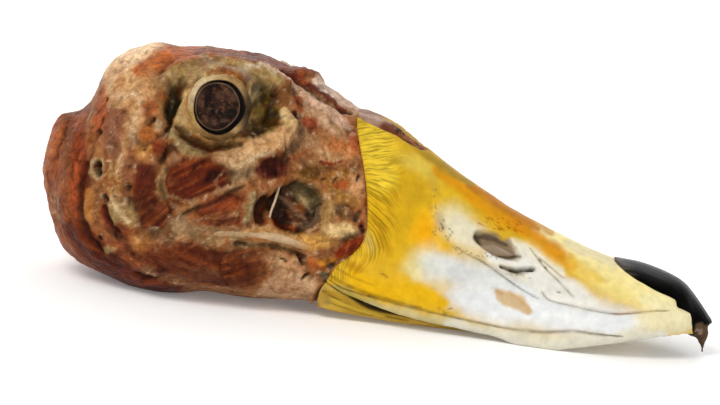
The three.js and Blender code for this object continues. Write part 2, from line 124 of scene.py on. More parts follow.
def routeThrough(places, steps=6):  # a rounded line through the places
    p = np.array([places[0], *places, places[-1]], float)
    out = []
    for i in range(1, len(p) - 2):
        for s in np.arange(steps) / steps:
            a, b, c, d = p[i - 1], p[i], p[i + 1], p[i + 2]
            spot = 2 * b + (c - a) * s + (2 * a - 5 * b + 4 * c - d) * s ** 2
            out.append(0.5 * (spot + (3 * b - a - 3 * c + d) * s ** 3))
    return np.array([*out, p[-2]])


def strokeMask(at, places, width, soft=0.5, taper=0):
    line = routeThrough(places)
    best = np.full(at.shape[:-1], 1e3)
    reach = width * (1 + soft) + 1
    near = np.all((at > line.min(0) - reach) & (at < line.max(0) + reach), axis=-1)
    spot = at[near]
    if len(spot) == 0:
        return np.zeros(at.shape[:-1])
    found = np.full(len(spot), 1e3)
    for n, (a, b) in enumerate(zip(line[:-1], line[1:])):
        run = b - a
        share = np.clip(((spot - a) @ run) / max(run @ run, 1e-9), 0, 1)
        far = np.linalg.norm(spot - a - share[:, None] * run, axis=-1)
        along = (n + share) / (len(line) - 1)
        thin = 1 - taper * np.abs(2 * along - 1) ** 2  # a tapered stroke narrows to both ends
        found = np.minimum(found, far / np.maximum(thin, 0.05))
    best[near] = found
    return 1 - smoothStep(width * (1 - soft), width * (1 + soft), best)


def linear(code):
    parts = np.array([int(code[i:i + 2], 16) / 255 for i in (1, 3, 5)])
    return np.where(parts <= 0.04045, parts / 12.92, ((parts + 0.055) / 1.055) ** 2.4)


def coat(grid, code):  # one colour at every point
    return np.broadcast_to(linear(code), grid.shape)


def paintOver(colours, mask, code):
    return colours + (linear(code) - colours) * mask[..., None]


def deepened(colours):  # tints as seen, taken down to the darker ones that look so once lit
    return np.clip(colours, 0, 1) ** (1.05, 1.08, 1.13)


def chartOf(points):  # (x, up) on the chart of the nearer side
    lean = points[..., 2] * math.cos(chartLean) - np.abs(points[..., 1]) * math.sin(chartLean)
    return np.stack([points[..., 0], lean + chartLift], axis=-1)


def shaped(at, forms):  # the sum of spots and strokes that stand proud or lie sunk
    total = np.zeros(at.shape[:-1])
    for form in forms:
        if isinstance(form[0], list):
            places, width, soft, height = form
            total += height * strokeMask(at, places, width, soft, 0.5)
        else:
            place, radii, turn, soft, height = form
            total += height * spotMask(at, place, radii, turn, soft)
    return total


def painted(at, colours, patches, crisp=1):
    for patch in patches:
        if isinstance(patch[1], list):
            code, places, width, soft, strength = patch
            colours = paintOver(colours, strength * strokeMask(at, places, width, soft * crisp, 0.4), code)
        else:
            code, place, radii, turn, soft, strength = patch
            colours = paintOver(colours, strength * spotMask(at, place, radii, turn, soft * crisp), code)
    return colours


# Helpers for meshes

def gridNormals(grid):  # rows run along the head, columns run round it
    along = np.gradient(grid, axis=0)
    across = np.roll(grid, -1, 1) - np.roll(grid, 1, 1)
    normals = np.cross(along, across)
    length = np.linalg.norm(normals, axis=-1, keepdims=True)
    return normals / np.maximum(length, 1e-9)


def resampled(line, count):  # points evenly spaced along a line
    steps = np.linalg.norm(np.diff(line, axis=0), axis=1)
    run = np.concatenate([[0], np.cumsum(steps)])
    at = np.linspace(0, run[-1], count)
    return np.stack([np.interp(at, run, line[:, k]) for k in range(line.shape[1])], axis=1)


def raised(grid, normals, height, floor=0):  # moved out by a height at each point, but not below the floor
    grid = grid + normals * height[..., None]
    grid[..., 2] = np.maximum(grid[..., 2], floor)
    return grid


def closedMesh(name, grid, values):  # a tube of rings with a hub at each end
    rows, columns = grid.shape[:2]
    hubs = np.array([grid[0].mean(0), grid[-1].mean(0)])
    points = np.concatenate([grid.reshape(-1, 3), hubs]) + np.array([shift, 0, 0])
    r, c = np.meshgrid(np.arange(rows - 1), np.arange(columns), indexing="ij")
    a, b = (r * columns + c).ravel(), (r * columns + (c + 1) % columns).ravel()
    faces = np.stack([a, a + columns, b + columns, b], axis=1).tolist()
    ring = np.arange(columns)
    nextOne = (ring + 1) % columns
    last = (rows - 1) * columns
    hub = rows * columns
    faces += np.stack([np.full(columns, hub), ring, nextOne], axis=1).tolist()
    faces += np.stack([np.full(columns, hub + 1), last + nextOne, last + ring], axis=1).tolist()
    mesh = bpy.data.meshes.new(name)
    mesh.from_pydata((points * mm).tolist(), [], faces)
    for key, data in values.items():
        data = np.asarray(data, float)
        flat = data.reshape(rows * columns, -1)
        ends = np.stack([data[0].reshape(columns, -1).mean(0), data[-1].reshape(columns, -1).mean(0)])
        addAttribute(mesh, key, np.concatenate([flat, ends]))
    mesh.polygons.foreach_set("use_smooth", np.ones(len(mesh.polygons), bool))
    return finished(name, mesh)


def bothSides(name, grid, colours):  # a piece of the right side and its mirror on the left
    right = closedMesh(name + "_right", grid, {"tint": colours})
    left = closedMesh(name + "_left", grid[:, ::-1] * [1, -1, 1], {"tint": colours[:, ::-1]})
    return right, left


def addAttribute(mesh, key, flat):
    if flat.shape[1] == 1:
        mesh.attributes.new(key, "FLOAT", "POINT").data.foreach_set("value", flat.ravel())
    elif key == "tint":
        full = np.concatenate([np.clip(flat, 0, 1), np.ones((len(flat), 1))], axis=1)
        mesh.attributes.new(key, "FLOAT_COLOR", "POINT").data.foreach_set("color", full.ravel())
    else:
        mesh.attributes.new(key, "FLOAT_VECTOR", "POINT").data.foreach_set("vector", flat.ravel())


def finished(name, mesh):
    mesh.update()
    piece = bpy.data.objects.new(name, mesh)
    bpy.context.collection.objects.link(piece)
    return piece


def addNode(tree, kind, inputs=(), **settings):
    node = tree.nodes.new(kind)
    for key, value in settings.items():
        setattr(node, key, value)
    for key, value in dict(inputs).items():
        if isinstance(value, bpy.types.NodeSocket):
            tree.links.new(value, node.inputs[key])
        else:
            node.inputs[key].default_value = value
    return node


# The forms of the head, the same sizes as its solids

fleshTop = smoothThrough([
    (-62.6, 18.3), (-62.1, 22.8), (-61.2, 26), (-60, 27.2), (-58, 27.9), (-56.4, 29.1), (-55.2, 31.4),
    (-54, 35.6), (-52.4, 38.1), (-49, 40.5), (-45.5, 41.7), (-40, 41.7), (-29.5, 41.7), (-24, 41),
    (-19, 39.7), (-15, 38.2), (-10, 35.5), (-5, 33.7), (0, 31.6), (6, 27.7)])
fleshBottom = smoothThrough([
    (-62.6, 18.3), (-62.1, 15.8), (-61.2, 13.1), (-59.5, 8), (-57, 3.7), (-54, 1.8), (-49, 0.3), (-44, -1),
    (-40, -1.4), (-36, -0.9), (-31, 0.2), (-25, 0), (-20, 0.3), (-14, 0.9), (-9, 1), (6, 3.5)])
fleshHalf = smoothThrough([
    (-62.6, 0), (-62.1, 4.6), (-61.2, 7.4), (-59.5, 10.4), (-57, 13.2), (-54, 15.4), (-49, 18),
    (-43, 19.9), (-36, 20.6), (-30, 20.1), (-24, 18.2), (-18, 16.1), (-12, 14.7), (-4, 14.1), (6, 13.4)])
fleshWaist = smoothThrough([
    (-62.6, 18.3), (-58, 16.5), (-50, 15.5), (-38, 15), (-28, 13.5), (-20, 11), (-10, 8.5), (6, 6)])
fleshShoulder = smoothThrough([
    (-62, 2.1), (-50, 2.2), (-42, 2.6), (-30, 2.5), (-22, 2), (-16, 1.7), (-8, 1.5), (6, 1.45)])
fleshKeel = smoothThrough([(-62, 2.1), (-50, 2.6), (-40, 3), (-25, 2.8), (-10, 2.6), (6, 2.6)])
hornEdge = smoothThrough([  # the x of the horn's back edge at each height
    (-5, -12.6), (4.5, -11.9), (7.4, -10.6), (9.2, -9.6), (11.4, -7.4), (14, -5.6), (16.5, -5.1), (20, -5.5),
    (23.5, -6.2), (27, -7.2), (30.5, -8.4), (34, -9.4), (36, -9.5), (60, -9.6)])

billRidge = smoothThrough([
    (-14, 37.2), (-10, 35.5), (-5, 34.1), (-2, 33.1), (0, 31.9), (5, 28.7), (10, 25.7), (15, 23.1),
    (20, 20.8), (25, 18.8), (30, 17), (35, 15.3), (39, 14.3), (43, 14), (47, 13.2), (50.5, 12), (53, 10.6),
    (55.5, 8.6), (57.2, 6.4)])
billRim = smoothThrough([
    (-14, 8.6), (-10.5, 7), (-8, 5.7), (-4, 4.5), (0, 3.5), (5, 2.6), (10, 2.1), (15, 1.7), (20, 1.1),
    (24, 0.3), (29, 0.3), (33, 1.2), (36, 1.9), (39, 2.7), (42, 3.4), (45, 4), (49, 4.7), (52, 4.9),
    (54, 4.7)])
billHalf = smoothThrough([
    (-14, 15), (-5, 14.6), (5, 14), (15, 13.3), (25, 13.2), (33, 13.4), (39, 13), (44, 11.9), (48, 9.9),
    (51, 7.6), (53, 5.2), (54.4, 2.2)])
billShoulder = smoothThrough([(-14, 1.55), (0, 1.4), (15, 1.25), (30, 1.35), (42, 1.9), (54, 2.2)])
rim = {"bead": 1.5, "thick": 1.9, "palate": 2.6, "proud": 0.45}


def crossing(line, past, first):  # where a line passes an edge, just before its point of that number
    share = past[first - 1] / (past[first - 1] - past[first])
    return [line[first - 1] + share * (line[first] - line[first - 1])]


def trimmed(xs, rings, count, startAt=None, endAt=None):  # even columns of points between two edges
    columns = []
    for j in range(rings.shape[1]):
        line = np.column_stack([xs, rings[:, j]])
        if startAt is not None:
            past = line[:, 0] - startAt(line[:, 2])
            first = np.argmax(past > 0)
            line = np.concatenate([crossing(line, past, first), line[first:]])
        if endAt is not None:
            past = line[:, 0] - endAt(line[:, 2])
            first = np.argmax((past > 0) & (line[:, 0] > -20))
            line = np.concatenate([line[:first], crossing(line, past, first)])
        columns.append(resampled(line, count))
    return np.stack(columns, axis=1)


def fleshRings(xs, count):
    turns = np.linspace(-math.pi / 2, 1.5 * math.pi, 721)
    rings = []
    for x in xs:
        top, bottom, waist = fleshTop(x), fleshBottom(x), fleshWaist(x)
        rise = np.sin(turns)
        up = waist + (top - waist) * np.abs(rise) ** (2 / fleshShoulder(x))
        down = waist - (waist - bottom) * np.abs(rise) ** (2 / fleshKeel(x))
        z = np.maximum(np.where(rise > 0, up, down), 0)
        outline = np.column_stack([-fleshHalf(x) * np.cos(turns), z])
        rings.append(resampled(outline, count + 1)[:-1])
    return np.array(rings)


def flankPoint(x, up, depth=0):  # the point of the right side at a place of the chart
    zs = np.linspace(fleshBottom(x), fleshTop(x), 600)
    waist = fleshWaist(x)
    above = zs > waist
    share = np.where(above, (zs - waist) / (fleshTop(x) - waist), (waist - zs) / (waist - fleshBottom(x)))
    power = np.where(above, fleshShoulder(x), fleshKeel(x))
    half = fleshHalf(x) * np.sqrt(np.maximum(0, 1 - np.minimum(1, share) ** power))
    chart = zs * math.cos(chartLean) - half * math.sin(chartLean) + chartLift
    z = np.interp(up, chart, zs)
    y = np.interp(up, chart, half) - depth * math.cos(chartLean)
    return np.array([x, -y, z - depth * math.sin(chartLean)])


def billOutline(x, count, under):  # from the right rim over the ridge to the left one, then back beneath
    edge, waist = billRim(x), billRim(x) + rim["bead"]
    half, ridge = billHalf(x) + rim["proud"], billRidge(x) + rim["proud"]
    thick = min(rim["thick"], half * 0.3)
    roof = min(edge + rim["palate"], waist + (ridge - waist) * 0.35)
    turns = np.linspace(0, math.pi, 361)
    rise = np.abs(np.sin(turns)) ** (2 / billShoulder(x))
    wall = np.column_stack([-half * np.cos(turns), waist + (ridge - waist) * rise])
    bead = np.linspace(0, math.pi, 40)
    middle = half - thick / 2
    deep = waist - edge + rim["proud"]
    drop = np.column_stack([middle + thick / 2 * np.cos(bead), waist - deep * np.sin(bead)])
    inside = np.array([[half - thick - 0.3, roof - 0.3], [half - thick - 0.8, roof], [0, roof]])
    left = np.concatenate([drop, inside])
    right = left[::-1][1:] * [-1, 1]
    outer = resampled(np.concatenate([drop[20::-1] * [-1, 1], wall[1:-1], drop[:21]]), count)
    inner = resampled(np.concatenate([left[20:], right[:-20]]), under + 2)[1:-1]
    ring = np.concatenate([outer, inner])
    ring[:, 1] = np.maximum(ring[:, 1], 0)
    return ring


# Flesh: one skin over the crown, nape, cheeks, face and jaw

eye = {"x": -33, "up": 33.3, "lid": 5.45, "deep": 5.2, "bulge": 0.9, "around": 220, "oval": (0.96, 1.04)}
socket = {"bottom": 1, "brim": 1.75, "slope": 0.16, "reach": 3.4}
flesh = {"around": 372, "along": 256, "roundedRows": 60, "rows": 420, "front": 60.5, "tuck": 0.7,
         "lump": 0.3, "lumpSize": 3.2, "bump": 0.26, "bumpSize": 1.3, "strand": 0.14, "strandLong": 7,
         "vein": 0.1, "nick": 0.5}

# Spots are (place, radii, turn, softness, height), strokes are (places, half width, softness, height)
fleshForms = [
    ((-32.8, 33.2), (10.2, 7.8), 0, 0.2, -0.9),
    ((-25.3, 33.4), (2.7, 4.8), 8, 0.5, -1.3),
    ((-41, 34), (1.4, 3.4), -6, 0.5, -2.2),
    ([(-39.5, 29.5), (-37, 27.2), (-33, 26.3), (-28.5, 27.4)], 1, 0.5, -0.9),
    ([(-20.9, 31.6), (-22.6, 29.6), (-25.4, 27.7), (-28.8, 25.6), (-32.4, 24.2)], 2.4, 0.8, 1.9),
    ([(-32, 24.6), (-35.6, 25), (-38.8, 26.4)], 1, 0.8, 0.6),
    ([(-42.6, 36.4), (-40.5, 38.7), (-36.5, 40.2), (-31, 40.8), (-26, 40.3), (-22.2, 38.6)], 1.5, 0.8, 1.1),
    ([(-22.4, 38.4), (-21.7, 35.5), (-21.4, 33), (-20.8, 31.2)], 1.1, 0.7, 0.9),
    ([(-26.4, 38.5), (-26.9, 35), (-26.4, 31)], 0.35, 0.8, 0.25),
    ([(-24.8, 38.6), (-24.4, 35), (-25, 30.6)], 0.35, 0.8, 0.25),
    ([(-27.9, 39), (-28.4, 37), (-27.2, 35.4)], 0.4, 0.8, 0.5),
    ([(-38, 36.6), (-38.9, 33.6), (-38.2, 30.4)], 0.3, 0.8, 0.3),
    ([(-37.6, 29.6), (-34.6, 28.3), (-31, 28.4)], 0.3, 0.8, -0.3),
    ((-43.4, 30.9), (1, 1), 0, 0.6, 0.8),
    ((-42.5, 28.9), (1, 1.2), 20, 0.6, 0.7),
    ((-44.4, 27), (1.5, 1.2), 0, 0.6, 0.7),
    ((-42, 25.2), (1.5, 1.2), 30, 0.6, 0.6),
    ((-40.1, 27.9), (1.1, 0.9), 0, 0.6, 0.6),
    ((-44, 23.6), (1.7, 1.2), 0, 0.7, 0.4),
    ((-39.3, 23.2), (1.3, 1.7), 0, 0.5, 0.5),
    ([(-44, 29.8), (-43.2, 30)], 0.4, 0.6, -0.7),
    ([(-41.6, 31.2), (-40.9, 29.8), (-41.3, 28)], 0.45, 0.7, -0.9),
    ([(-40.6, 25.9), (-40.9, 23.6), (-41.4, 22.4)], 0.35, 0.7, -0.6),
    ((-35, 20), (5.6, 3.9), 12, 0.6, 0.9),
    ((-43.6, 19.2), (2.3, 3.4), 0, 0.5, 0.7),
    ((-41.8, 13.8), (3, 2.5), 25, 0.5, 0.6),
    ((-30.6, 15.6), (4.2, 1.8), 22, 0.6, 0.5),
    ([(-36.5, 14.6), (-32, 17), (-27, 20.6)], 0.45, 0.8, -0.4),
    ([(-40.6, 22), (-40.5, 19), (-40.2, 16.4)], 0.9, 0.8, -0.35),
    ((-46.8, 12.6), (2.8, 1.9), -38, 0.5, 0.8),
    ((-48.6, 17.2), (1.5, 2.6), 10, 0.6, 0.4),
    ([(-50.2, 13.8), (-49, 11.6), (-47, 9.8)], 0.5, 0.7, -0.6),
    ([(-52.6, 15.8), (-53, 13.2), (-52.2, 11)], 0.8, 0.7, 0.5),
    ((-52.2, 20.1), (1.35, 1.95), 10, 0.35, 0.5),
    ((-52.1, 20.2), (0.68, 1.3), 10, 0.3, -2.4),
    ([(-52.7, 28.6), (-53.6, 23.5), (-54.6, 17), (-53.4, 10.5), (-49.5, 6)], 0.6, 0.9, -0.45),
    ([(-56.4, 27), (-57.4, 21.5), (-57, 15.5), (-54.8, 9.5), (-50.5, 5)], 1.1, 0.9, 0.45),
    ([(-59.2, 26.4), (-60.2, 21), (-59.9, 15), (-58, 9.6)], 0.6, 0.9, -0.35),
    ([(-57.8, 13.6), (-56.4, 10.6)], 0.8, 0.7, 0.5),
    ((-36.5, 5.6), (6.6, 3), -4, 0.6, 0.5),
    ((-25.6, 6.6), (4.6, 3), 6, 0.7, 0.5),
    ((-48, 6.7), (1.4, 0.7), 8, 0.6, 0.4),
    ((-40.7, 4.4), (1.5, 1), 0, 0.6, 0.5),
    ([(-43.6, 3.2), (-41.2, 2.6), (-39.6, 2.9)], 0.35, 0.7, -0.6),
    ((-43.4, 7.8), (1.6, 1), -30, 0.7, 0.5),
    ((-17.3, 18), (4.4, 4.6), -14, 0.14, -1.7),
    ((-19.6, 17.2), (1.7, 3), 18, 0.4, -1.4),
    ([(-20.6, 20.4), (-18, 18), (-15.4, 16.4)], 0.5, 0.9, 0.35),
    ([(-19.4, 21.4), (-17, 20.2), (-14.6, 19.6)], 0.35, 0.9, 0.3),
    ((-22.9, 17), (1.3, 3), -10, 0.3, -1.6),
    ((-25.6, 17.2), (0.9, 3.4), -8, 0.5, 0.6),
    ([(-20.6, 22.9), (-17, 23.1), (-13.6, 21.8), (-12.2, 18.6), (-13, 15.4), (-15.6, 13.9)], 0.8, 0.8, 0.6),
    ([(-19.6, 20.8), (-17.4, 18.2), (-15.4, 17.2)], 0.3, 0.8, 0.5),
    ([(-18.9, 18), (-17.4, 15.8)], 0.3, 0.8, 0.4),
    ((-9, 18.5), (2.1, 1.5), -12, 0.25, -0.35),
    ((-11.4, 23.6), (2.6, 1.5), 15, 0.7, 0.5),
    ((-8.1, 23.4), (1.2, 1.6), 0, 0.6, 0.4),
    ((-11.2, 15), (2.8, 1.3), 12, 0.6, 0.6),
    ((-14.6, 12.9), (2.6, 1.2), 0, 0.7, 0.5),
    ((-7.5, 12.7), (2.9, 0.9), 42, 0.5, 0.7),
    ((-12.6, 8.5), (1.5, 1.1), -20, 0.5, 0.7),
    ([(-26, 4.2), (-19, 4.8), (-12.6, 5)], 2.8, 0.7, 0.6),
    ([(-27, 10.6), (-20, 10.7), (-15, 10)], 0.55, 0.8, -0.6),
    ([(-25.2, 41.8), (-21, 39.8), (-17, 37.8), (-13.6, 36.3), (-10.6, 35.4)], 0.42, 0.8, -0.5),
    ([(-24, 40.2), (-20, 38.2), (-15, 35.8), (-10.8, 34.2)], 0.5, 0.8, 0.3),
    ((-17.8, 41.4), (1.9, 1.5), -20, 0.6, 1.3),
    ((-20.6, 41.3), (1, 0.7), 0, 0.6, 0.6),
    ([(-20.4, 27), (-21.6, 29.6), (-21, 31.4)], 0.35, 0.8, -0.5),
    ((-22.4, 24.6), (2.6, 1.7), 12, 0.6, -0.7),
    ([(-16.2, 10.2), (-15.4, 8.7)], 0.25, 0.6, -0.5),
    ([(-15, 6.3), (-14.2, 7.1)], 0.22, 0.6, -0.5),
    ((-12.4, 2.2), (0.9, 1.6), 10, 0.5, 0.7),
]

# Patches are (colour, place, radii, turn, softness, strength)
# and strokes are (colour, places, half width, softness, strength)
fleshPatches = [
    ("#885033", [(-58.6, 29), (-59.4, 18), (-57, 9), (-51.6, 4.6), (-45, 2.6), (-38, 1.4)], 5.2, 0.4, 1),
    ("#a8653f", (-60.6, 22), (2.2, 6.5), 6, 0.7, 0.7),
    ("#6e4a33", (-57.6, 22), (1.5, 5.5), 4, 0.8, 0.7),
    ("#94492a", (-55.4, 19), (1.4, 8), 4, 0.6, 0.9),
    ("#9c5c3c", (-58.6, 27.6), (2.6, 1.4), 12, 0.8, 0.6),
    ("#5e2812", (-54.2, 18.6), (1.1, 3.6), 4, 0.7, 0.9),
    ("#5a2512", [(-55, 9.6), (-50.4, 4.8), (-44, 2.2), (-37, 1.2)], 2.3, 0.8, 0.9),
    ("#8a6a55", (-59, 12.6), (1.1, 2.8), 16, 0.8, 0.6),
    ("#5c2b18", (-57.4, 13), (0.8, 1.5), 10, 0.7, 0.7),
    ("#805a48", (-50.2, 28.5), (2.4, 6.4), 0, 0.4, 1),
    ("#a4553a", (-53.2, 29.8), (1, 4.8), 0, 0.7, 0.7),
    ("#e6cdb0", (-49.2, 39.6), (5.8, 3.6), 32, 0.6, 1),
    ("#c3a17a", (-48.4, 34.6), (4.6, 3.4), 20, 0.5, 0.9),
    ("#b98d66", (-51.6, 35.8), (1.6, 3.2), 0, 0.7, 0.6),
    ("#a48464", [(-47.4, 33), (-47.8, 28.5), (-47.6, 24), (-48.6, 20)], 0.9, 0.7, 0.9),
    ("#b06430", [(-47.2, 37.6), (-44.6, 39.8), (-41, 41.4), (-36, 42.7)], 2.1, 0.7, 0.95),
    ("#86481c", [(-38, 43.6), (-31, 43.2), (-26, 42.6), (-20.6, 41.2)], 2, 0.4, 1),
    ("#6f3114", [(-29.6, 42.4), (-25, 41.9), (-20, 40.6)], 0.8, 0.8, 0.8),
    ("#aa8560", (-45, 34.2), (1.9, 4.2), 6, 0.6, 0.8),
    ("#b8946e", (-46.6, 31.2), (1.6, 4.2), 0, 0.7, 0.9),
    ("#7f6444", (-43, 34.6), (1.2, 2.6), 0, 0.7, 0.8),
    ("#c4ad92", [(-51.6, 37.2), (-52.2, 34), (-50.4, 33), (-47, 33.4), (-45.6, 31)], 0.6, 0.8, 0.7),
    ("#bda890", [(-46.6, 30.6), (-46.9, 27.6), (-46.2, 24.6)], 0.5, 0.8, 0.7),
    ("#a08258", (-33.4, 33.3), (8.8, 7.6), 0, 0.3, 1),
    ("#9a865f", [(-42, 37.2), (-39, 38.9), (-34, 39.9), (-28, 40), (-23.8, 38.8)], 1.2, 0.6, 1),
    ("#6f5232", [(-40.6, 38.6), (-37.6, 40), (-34, 40.9)], 0.5, 0.7, 0.7),
    ("#7b6a48", [(-30.6, 39), (-27.6, 39.2), (-25, 38)], 0.5, 0.8, 0.8),
    ("#b8ab94", [(-29.6, 40.6), (-26.8, 40.8), (-24.6, 39.8)], 0.5, 0.7, 0.9),
    ("#a8926c", [(-38.4, 29.4), (-39.7, 33.5), (-38.6, 37), (-36, 38.9), (-32.5, 39.4)], 0.9, 0.6, 1),
    ("#8f7448", [(-38.2, 28.6), (-35, 27.6), (-31.5, 27.8), (-28.6, 29.4)], 1, 0.6, 0.9),
    ("#4a2a18", [(-38.8, 27.9), (-35.5, 26.5), (-32.6, 26.2), (-30, 27)], 0.25, 0.7, 0.9),
    ("#8a5528", [(-35.5, 39), (-32, 39.6), (-28.8, 38.8)], 0.5, 0.7, 0.8),
    ("#8e8a66", (-37.2, 41.4), (0.9, 0.7), 30, 0.6, 0.8),
    ("#2c1d10", [(-37.5, 41.4), (-36.4, 42.2)], 0.14, 0.7, 0.9),
    ("#34301f", (-41.1, 33.6), (1.2, 3.2), -6, 0.5, 0.95),
    ("#625d47", (-41.7, 35.4), (0.9, 1.4), 0, 0.7, 0.8),
    ("#70602f", (-25.3, 33.2), (3, 5), 8, 0.4, 1),
    ("#7c724a", [(-26.7, 37.6), (-27.2, 34), (-26.6, 30.4)], 0.6, 0.8, 0.7),
    ("#5c4f28", [(-24, 37.2), (-23.6, 34), (-24.6, 30.4)], 0.7, 0.8, 0.9),
    ("#9a9072", (-27, 37.4), (1.5, 1.1), 0, 0.8, 0.7),
    # painted shadow between the eye's ring and the arch below it
    ("#3c3620", (-27, 28.9), (2.2, 0.9), -28, 0.7, 0.7),
    ("#b99873", [(-20.9, 30.9), (-22.8, 29), (-25.6, 27.2), (-29, 25.4), (-32.2, 24.2)], 1.8, 0.4, 1),
    # painted shadow between the eye's ring and the arch, laid over the arch's upper edge
    ("#473520", [(-24.6, 31), (-27.2, 29.6), (-30, 28.8)], 0.9, 0.6, 0.9),
    ("#b39a7a", (-28.6, 23.6), (3.6, 2.4), 8, 0.5, 0.9),
    ("#cdb88e", [(-21.9, 34), (-21.5, 32.4), (-21, 30.6)], 0.8, 0.5, 1),
    ("#65452a", (-22.1, 36.9), (1.3, 1.8), 10, 0.6, 0.9),
    ("#897a5a", [(-40.4, 28.2), (-37.8, 25.8), (-34.6, 25.2)], 1, 0.6, 0.9),
    ("#8b3d1c", [(-36, 26.6), (-33.4, 25.9), (-31.2, 26.6)], 0.4, 0.7, 0.8),
    ("#4a2812", (-39.6, 24.4), (1.2, 1.3), 0, 0.6, 0.9),
    ("#4e361e", (-29.3, 37.2), (1.1, 1.7), 34, 0.7, 0.8),
    ("#9c6230", (-43.6, 27.8), (1.8, 2.2), 0, 0.6, 0.9),
    ("#8f4c26", (-44.6, 31.6), (1, 1.6), -20, 0.6, 0.8),
    ("#94866e", (-42.5, 29), (0.7, 1), 20, 0.6, 0.9),
    ("#74351b", (-42, 25), (1.6, 1.2), 20, 0.5, 1),
    ("#b58a52", (-44.6, 24.2), (1.5, 1.4), 0, 0.6, 0.8),
    ("#2a1a10", [(-43.6, 30.4), (-43.2, 29.4)], 0.35, 0.6, 0.9),
    ("#36261a", [(-41, 31.4), (-40.6, 29.2), (-40.9, 27)], 0.6, 0.7, 0.8),
    ("#8d6f56", (-39.3, 23), (1.1, 1.5), 0, 0.5, 0.9),
    ("#5a2410", (-35, 20.2), (5.8, 4.2), 10, 0.35, 1),
    ("#522416", (-43.6, 18.6), (2.3, 3.6), 0, 0.35, 1),
    ("#502616", (-41.2, 13.8), (3.3, 2.9), 20, 0.4, 1),
    ("#4c2a20", (-39.4, 14.2), (1, 1.6), -30, 0.5, 0.7),
    ("#ad9068", [(-40.6, 21.6), (-40.6, 19), (-40.3, 16.4)], 0.85, 0.5, 0.9),
    ("#85583f", (-46.4, 21), (1.3, 3.6), 0, 0.7, 0.8),
    ("#967850", (-48.9, 18.4), (1.3, 3), 8, 0.6, 0.95),
    ("#8a7856", (-46.9, 13), (2.9, 2.1), -38, 0.45, 1),
    ("#7c7558", (-47.2, 13.4), (1.3, 0.8), -20, 0.8, 0.6),
    ("#bba88a", [(-49, 15.4), (-47.6, 13.6), (-45.4, 11.8)], 0.5, 0.8, 0.8),
    ("#b9a994", [(-37.6, 12.6), (-35.4, 12.2), (-33, 11.8)], 0.4, 0.8, 0.8),
    ("#c4b39a", [(-20.6, 24), (-22.8, 26.4), (-26, 25.6), (-28.4, 23.2)], 0.4, 0.9, 0.7),
    ("#7a2a14", [(-50.6, 13.6), (-49.2, 11), (-46.8, 9.4)], 0.8, 0.7, 0.8),
    ("#a5743f", [(-53, 15.6), (-53, 13), (-52.4, 10.8)], 0.9, 0.6, 0.8),
    ("#8c6f51", (-35, 16), (3, 1), 32, 0.6, 0.8),
    ("#9a7f61", [(-37.6, 15), (-33, 17), (-28, 20.6)], 0.8, 0.7, 0.8),
    ("#73331a", (-30.6, 16.6), (4.2, 1.9), 26, 0.5, 0.9),
    ("#8f7358", [(-39.6, 17.4), (-36.6, 16.6), (-33.8, 17.6)], 0.3, 0.8, 0.7),
    ("#8a6a50", [(-30.8, 22.6), (-31.6, 20.4), (-30.2, 18.6)], 0.3, 0.8, 0.6),
    ("#9c846a", [(-34.6, 13.4), (-31.4, 14.6), (-27.8, 14.4)], 0.3, 0.8, 0.7),
    ("#8c6c52", [(-40.4, 8.8), (-36.4, 8.2), (-32, 9)], 0.35, 0.8, 0.7),
    ("#7d5a40", [(-37.6, 5), (-33, 4.4), (-29.4, 5.4)], 0.3, 0.8, 0.6),
    ("#5e2412", (-29, 14.2), (4.6, 0.9), 6, 0.7, 0.8),
    ("#93826c", (-36.8, 12.2), (2, 2), 0, 0.5, 0.9),
    ("#8e765c", [(-38.4, 11.3), (-36, 11.3), (-32, 11.6), (-26, 12.4)], 1.35, 0.6, 1),
    ("#75604f", (-40, 10.4), (2.4, 0.8), -20, 0.7, 0.7),
    ("#a8906e", [(-35.6, 10.4), (-31, 10.2), (-27, 11.6)], 0.6, 0.7, 0.8),
    ("#7a3c22", [(-47.6, 10.4), (-44, 8.4), (-41, 6)], 1.8, 0.5, 0.8),
    ("#a87a48", (-43, 8.6), (1.9, 1.4), -30, 0.7, 0.8),
    ("#4e1f10", [(-53, 9.4), (-49.6, 6), (-44.6, 4)], 1.2, 0.7, 0.8),
    ("#94835f", (-48, 6.7), (1.2, 0.6), 8, 0.7, 0.8),
    ("#5e2e19", (-32.5, 6.2), (9.6, 3.3), -2, 0.4, 1),
    ("#6f5440", (-41, 4.4), (1.4, 0.9), 0, 0.7, 0.8),
    ("#7b5a3c", (-37, 3.2), (3.2, 0.9), 4, 0.7, 0.6),
    ("#54270c", (-25, 7.4), (3.9, 3.4), 4, 0.5, 0.8),
    ("#9b7450", [(-30, 2.2), (-25, 1.8), (-19, 2.4)], 1.2, 0.8, 0.8),
    ("#ac8f74", [(-20.6, 3), (-17.6, 5), (-13.6, 4.8)], 2.7, 0.4, 1),
    ("#b08c6c", (-18.2, 8.4), (3.4, 1.3), -4, 0.6, 0.9),
    ("#937654", [(-27, 10.8), (-21, 11), (-15.6, 10.5)], 0.7, 0.6, 0.9),
    ("#84684a", [(-35, 10.2), (-30, 10.6), (-25, 10.6)], 0.8, 0.6, 0.8),
    ("#9a7a5e", (-15.2, 31.8), (6, 6.2), -40, 0.35, 1),
    ("#b38f6c", (-13.2, 27.6), (4, 1.5), 10, 0.7, 0.8),
    ("#bfa697", [(-24, 40.4), (-20, 38.4), (-16, 36.2), (-12.4, 34.2), (-9.6, 32.2)], 1, 0.7, 0.9),
    ("#c9bab0", [(-17.6, 39.9), (-15.6, 39.2), (-13, 38), (-10, 36.6)], 0.8, 0.6, 0.95),
    ("#b79d8e", [(-14.6, 39.4), (-11, 37.4), (-8, 36)], 1, 0.7, 0.8),
    ("#6e3428", [(-23.5, 41.2), (-19.4, 39.6), (-15.2, 37.9), (-11.4, 35.9)], 0.45, 0.8, 0.9),
    ("#c3a590", [(-19.6, 37.4), (-16, 34.6), (-13.4, 32)], 0.8, 0.9, 0.6),
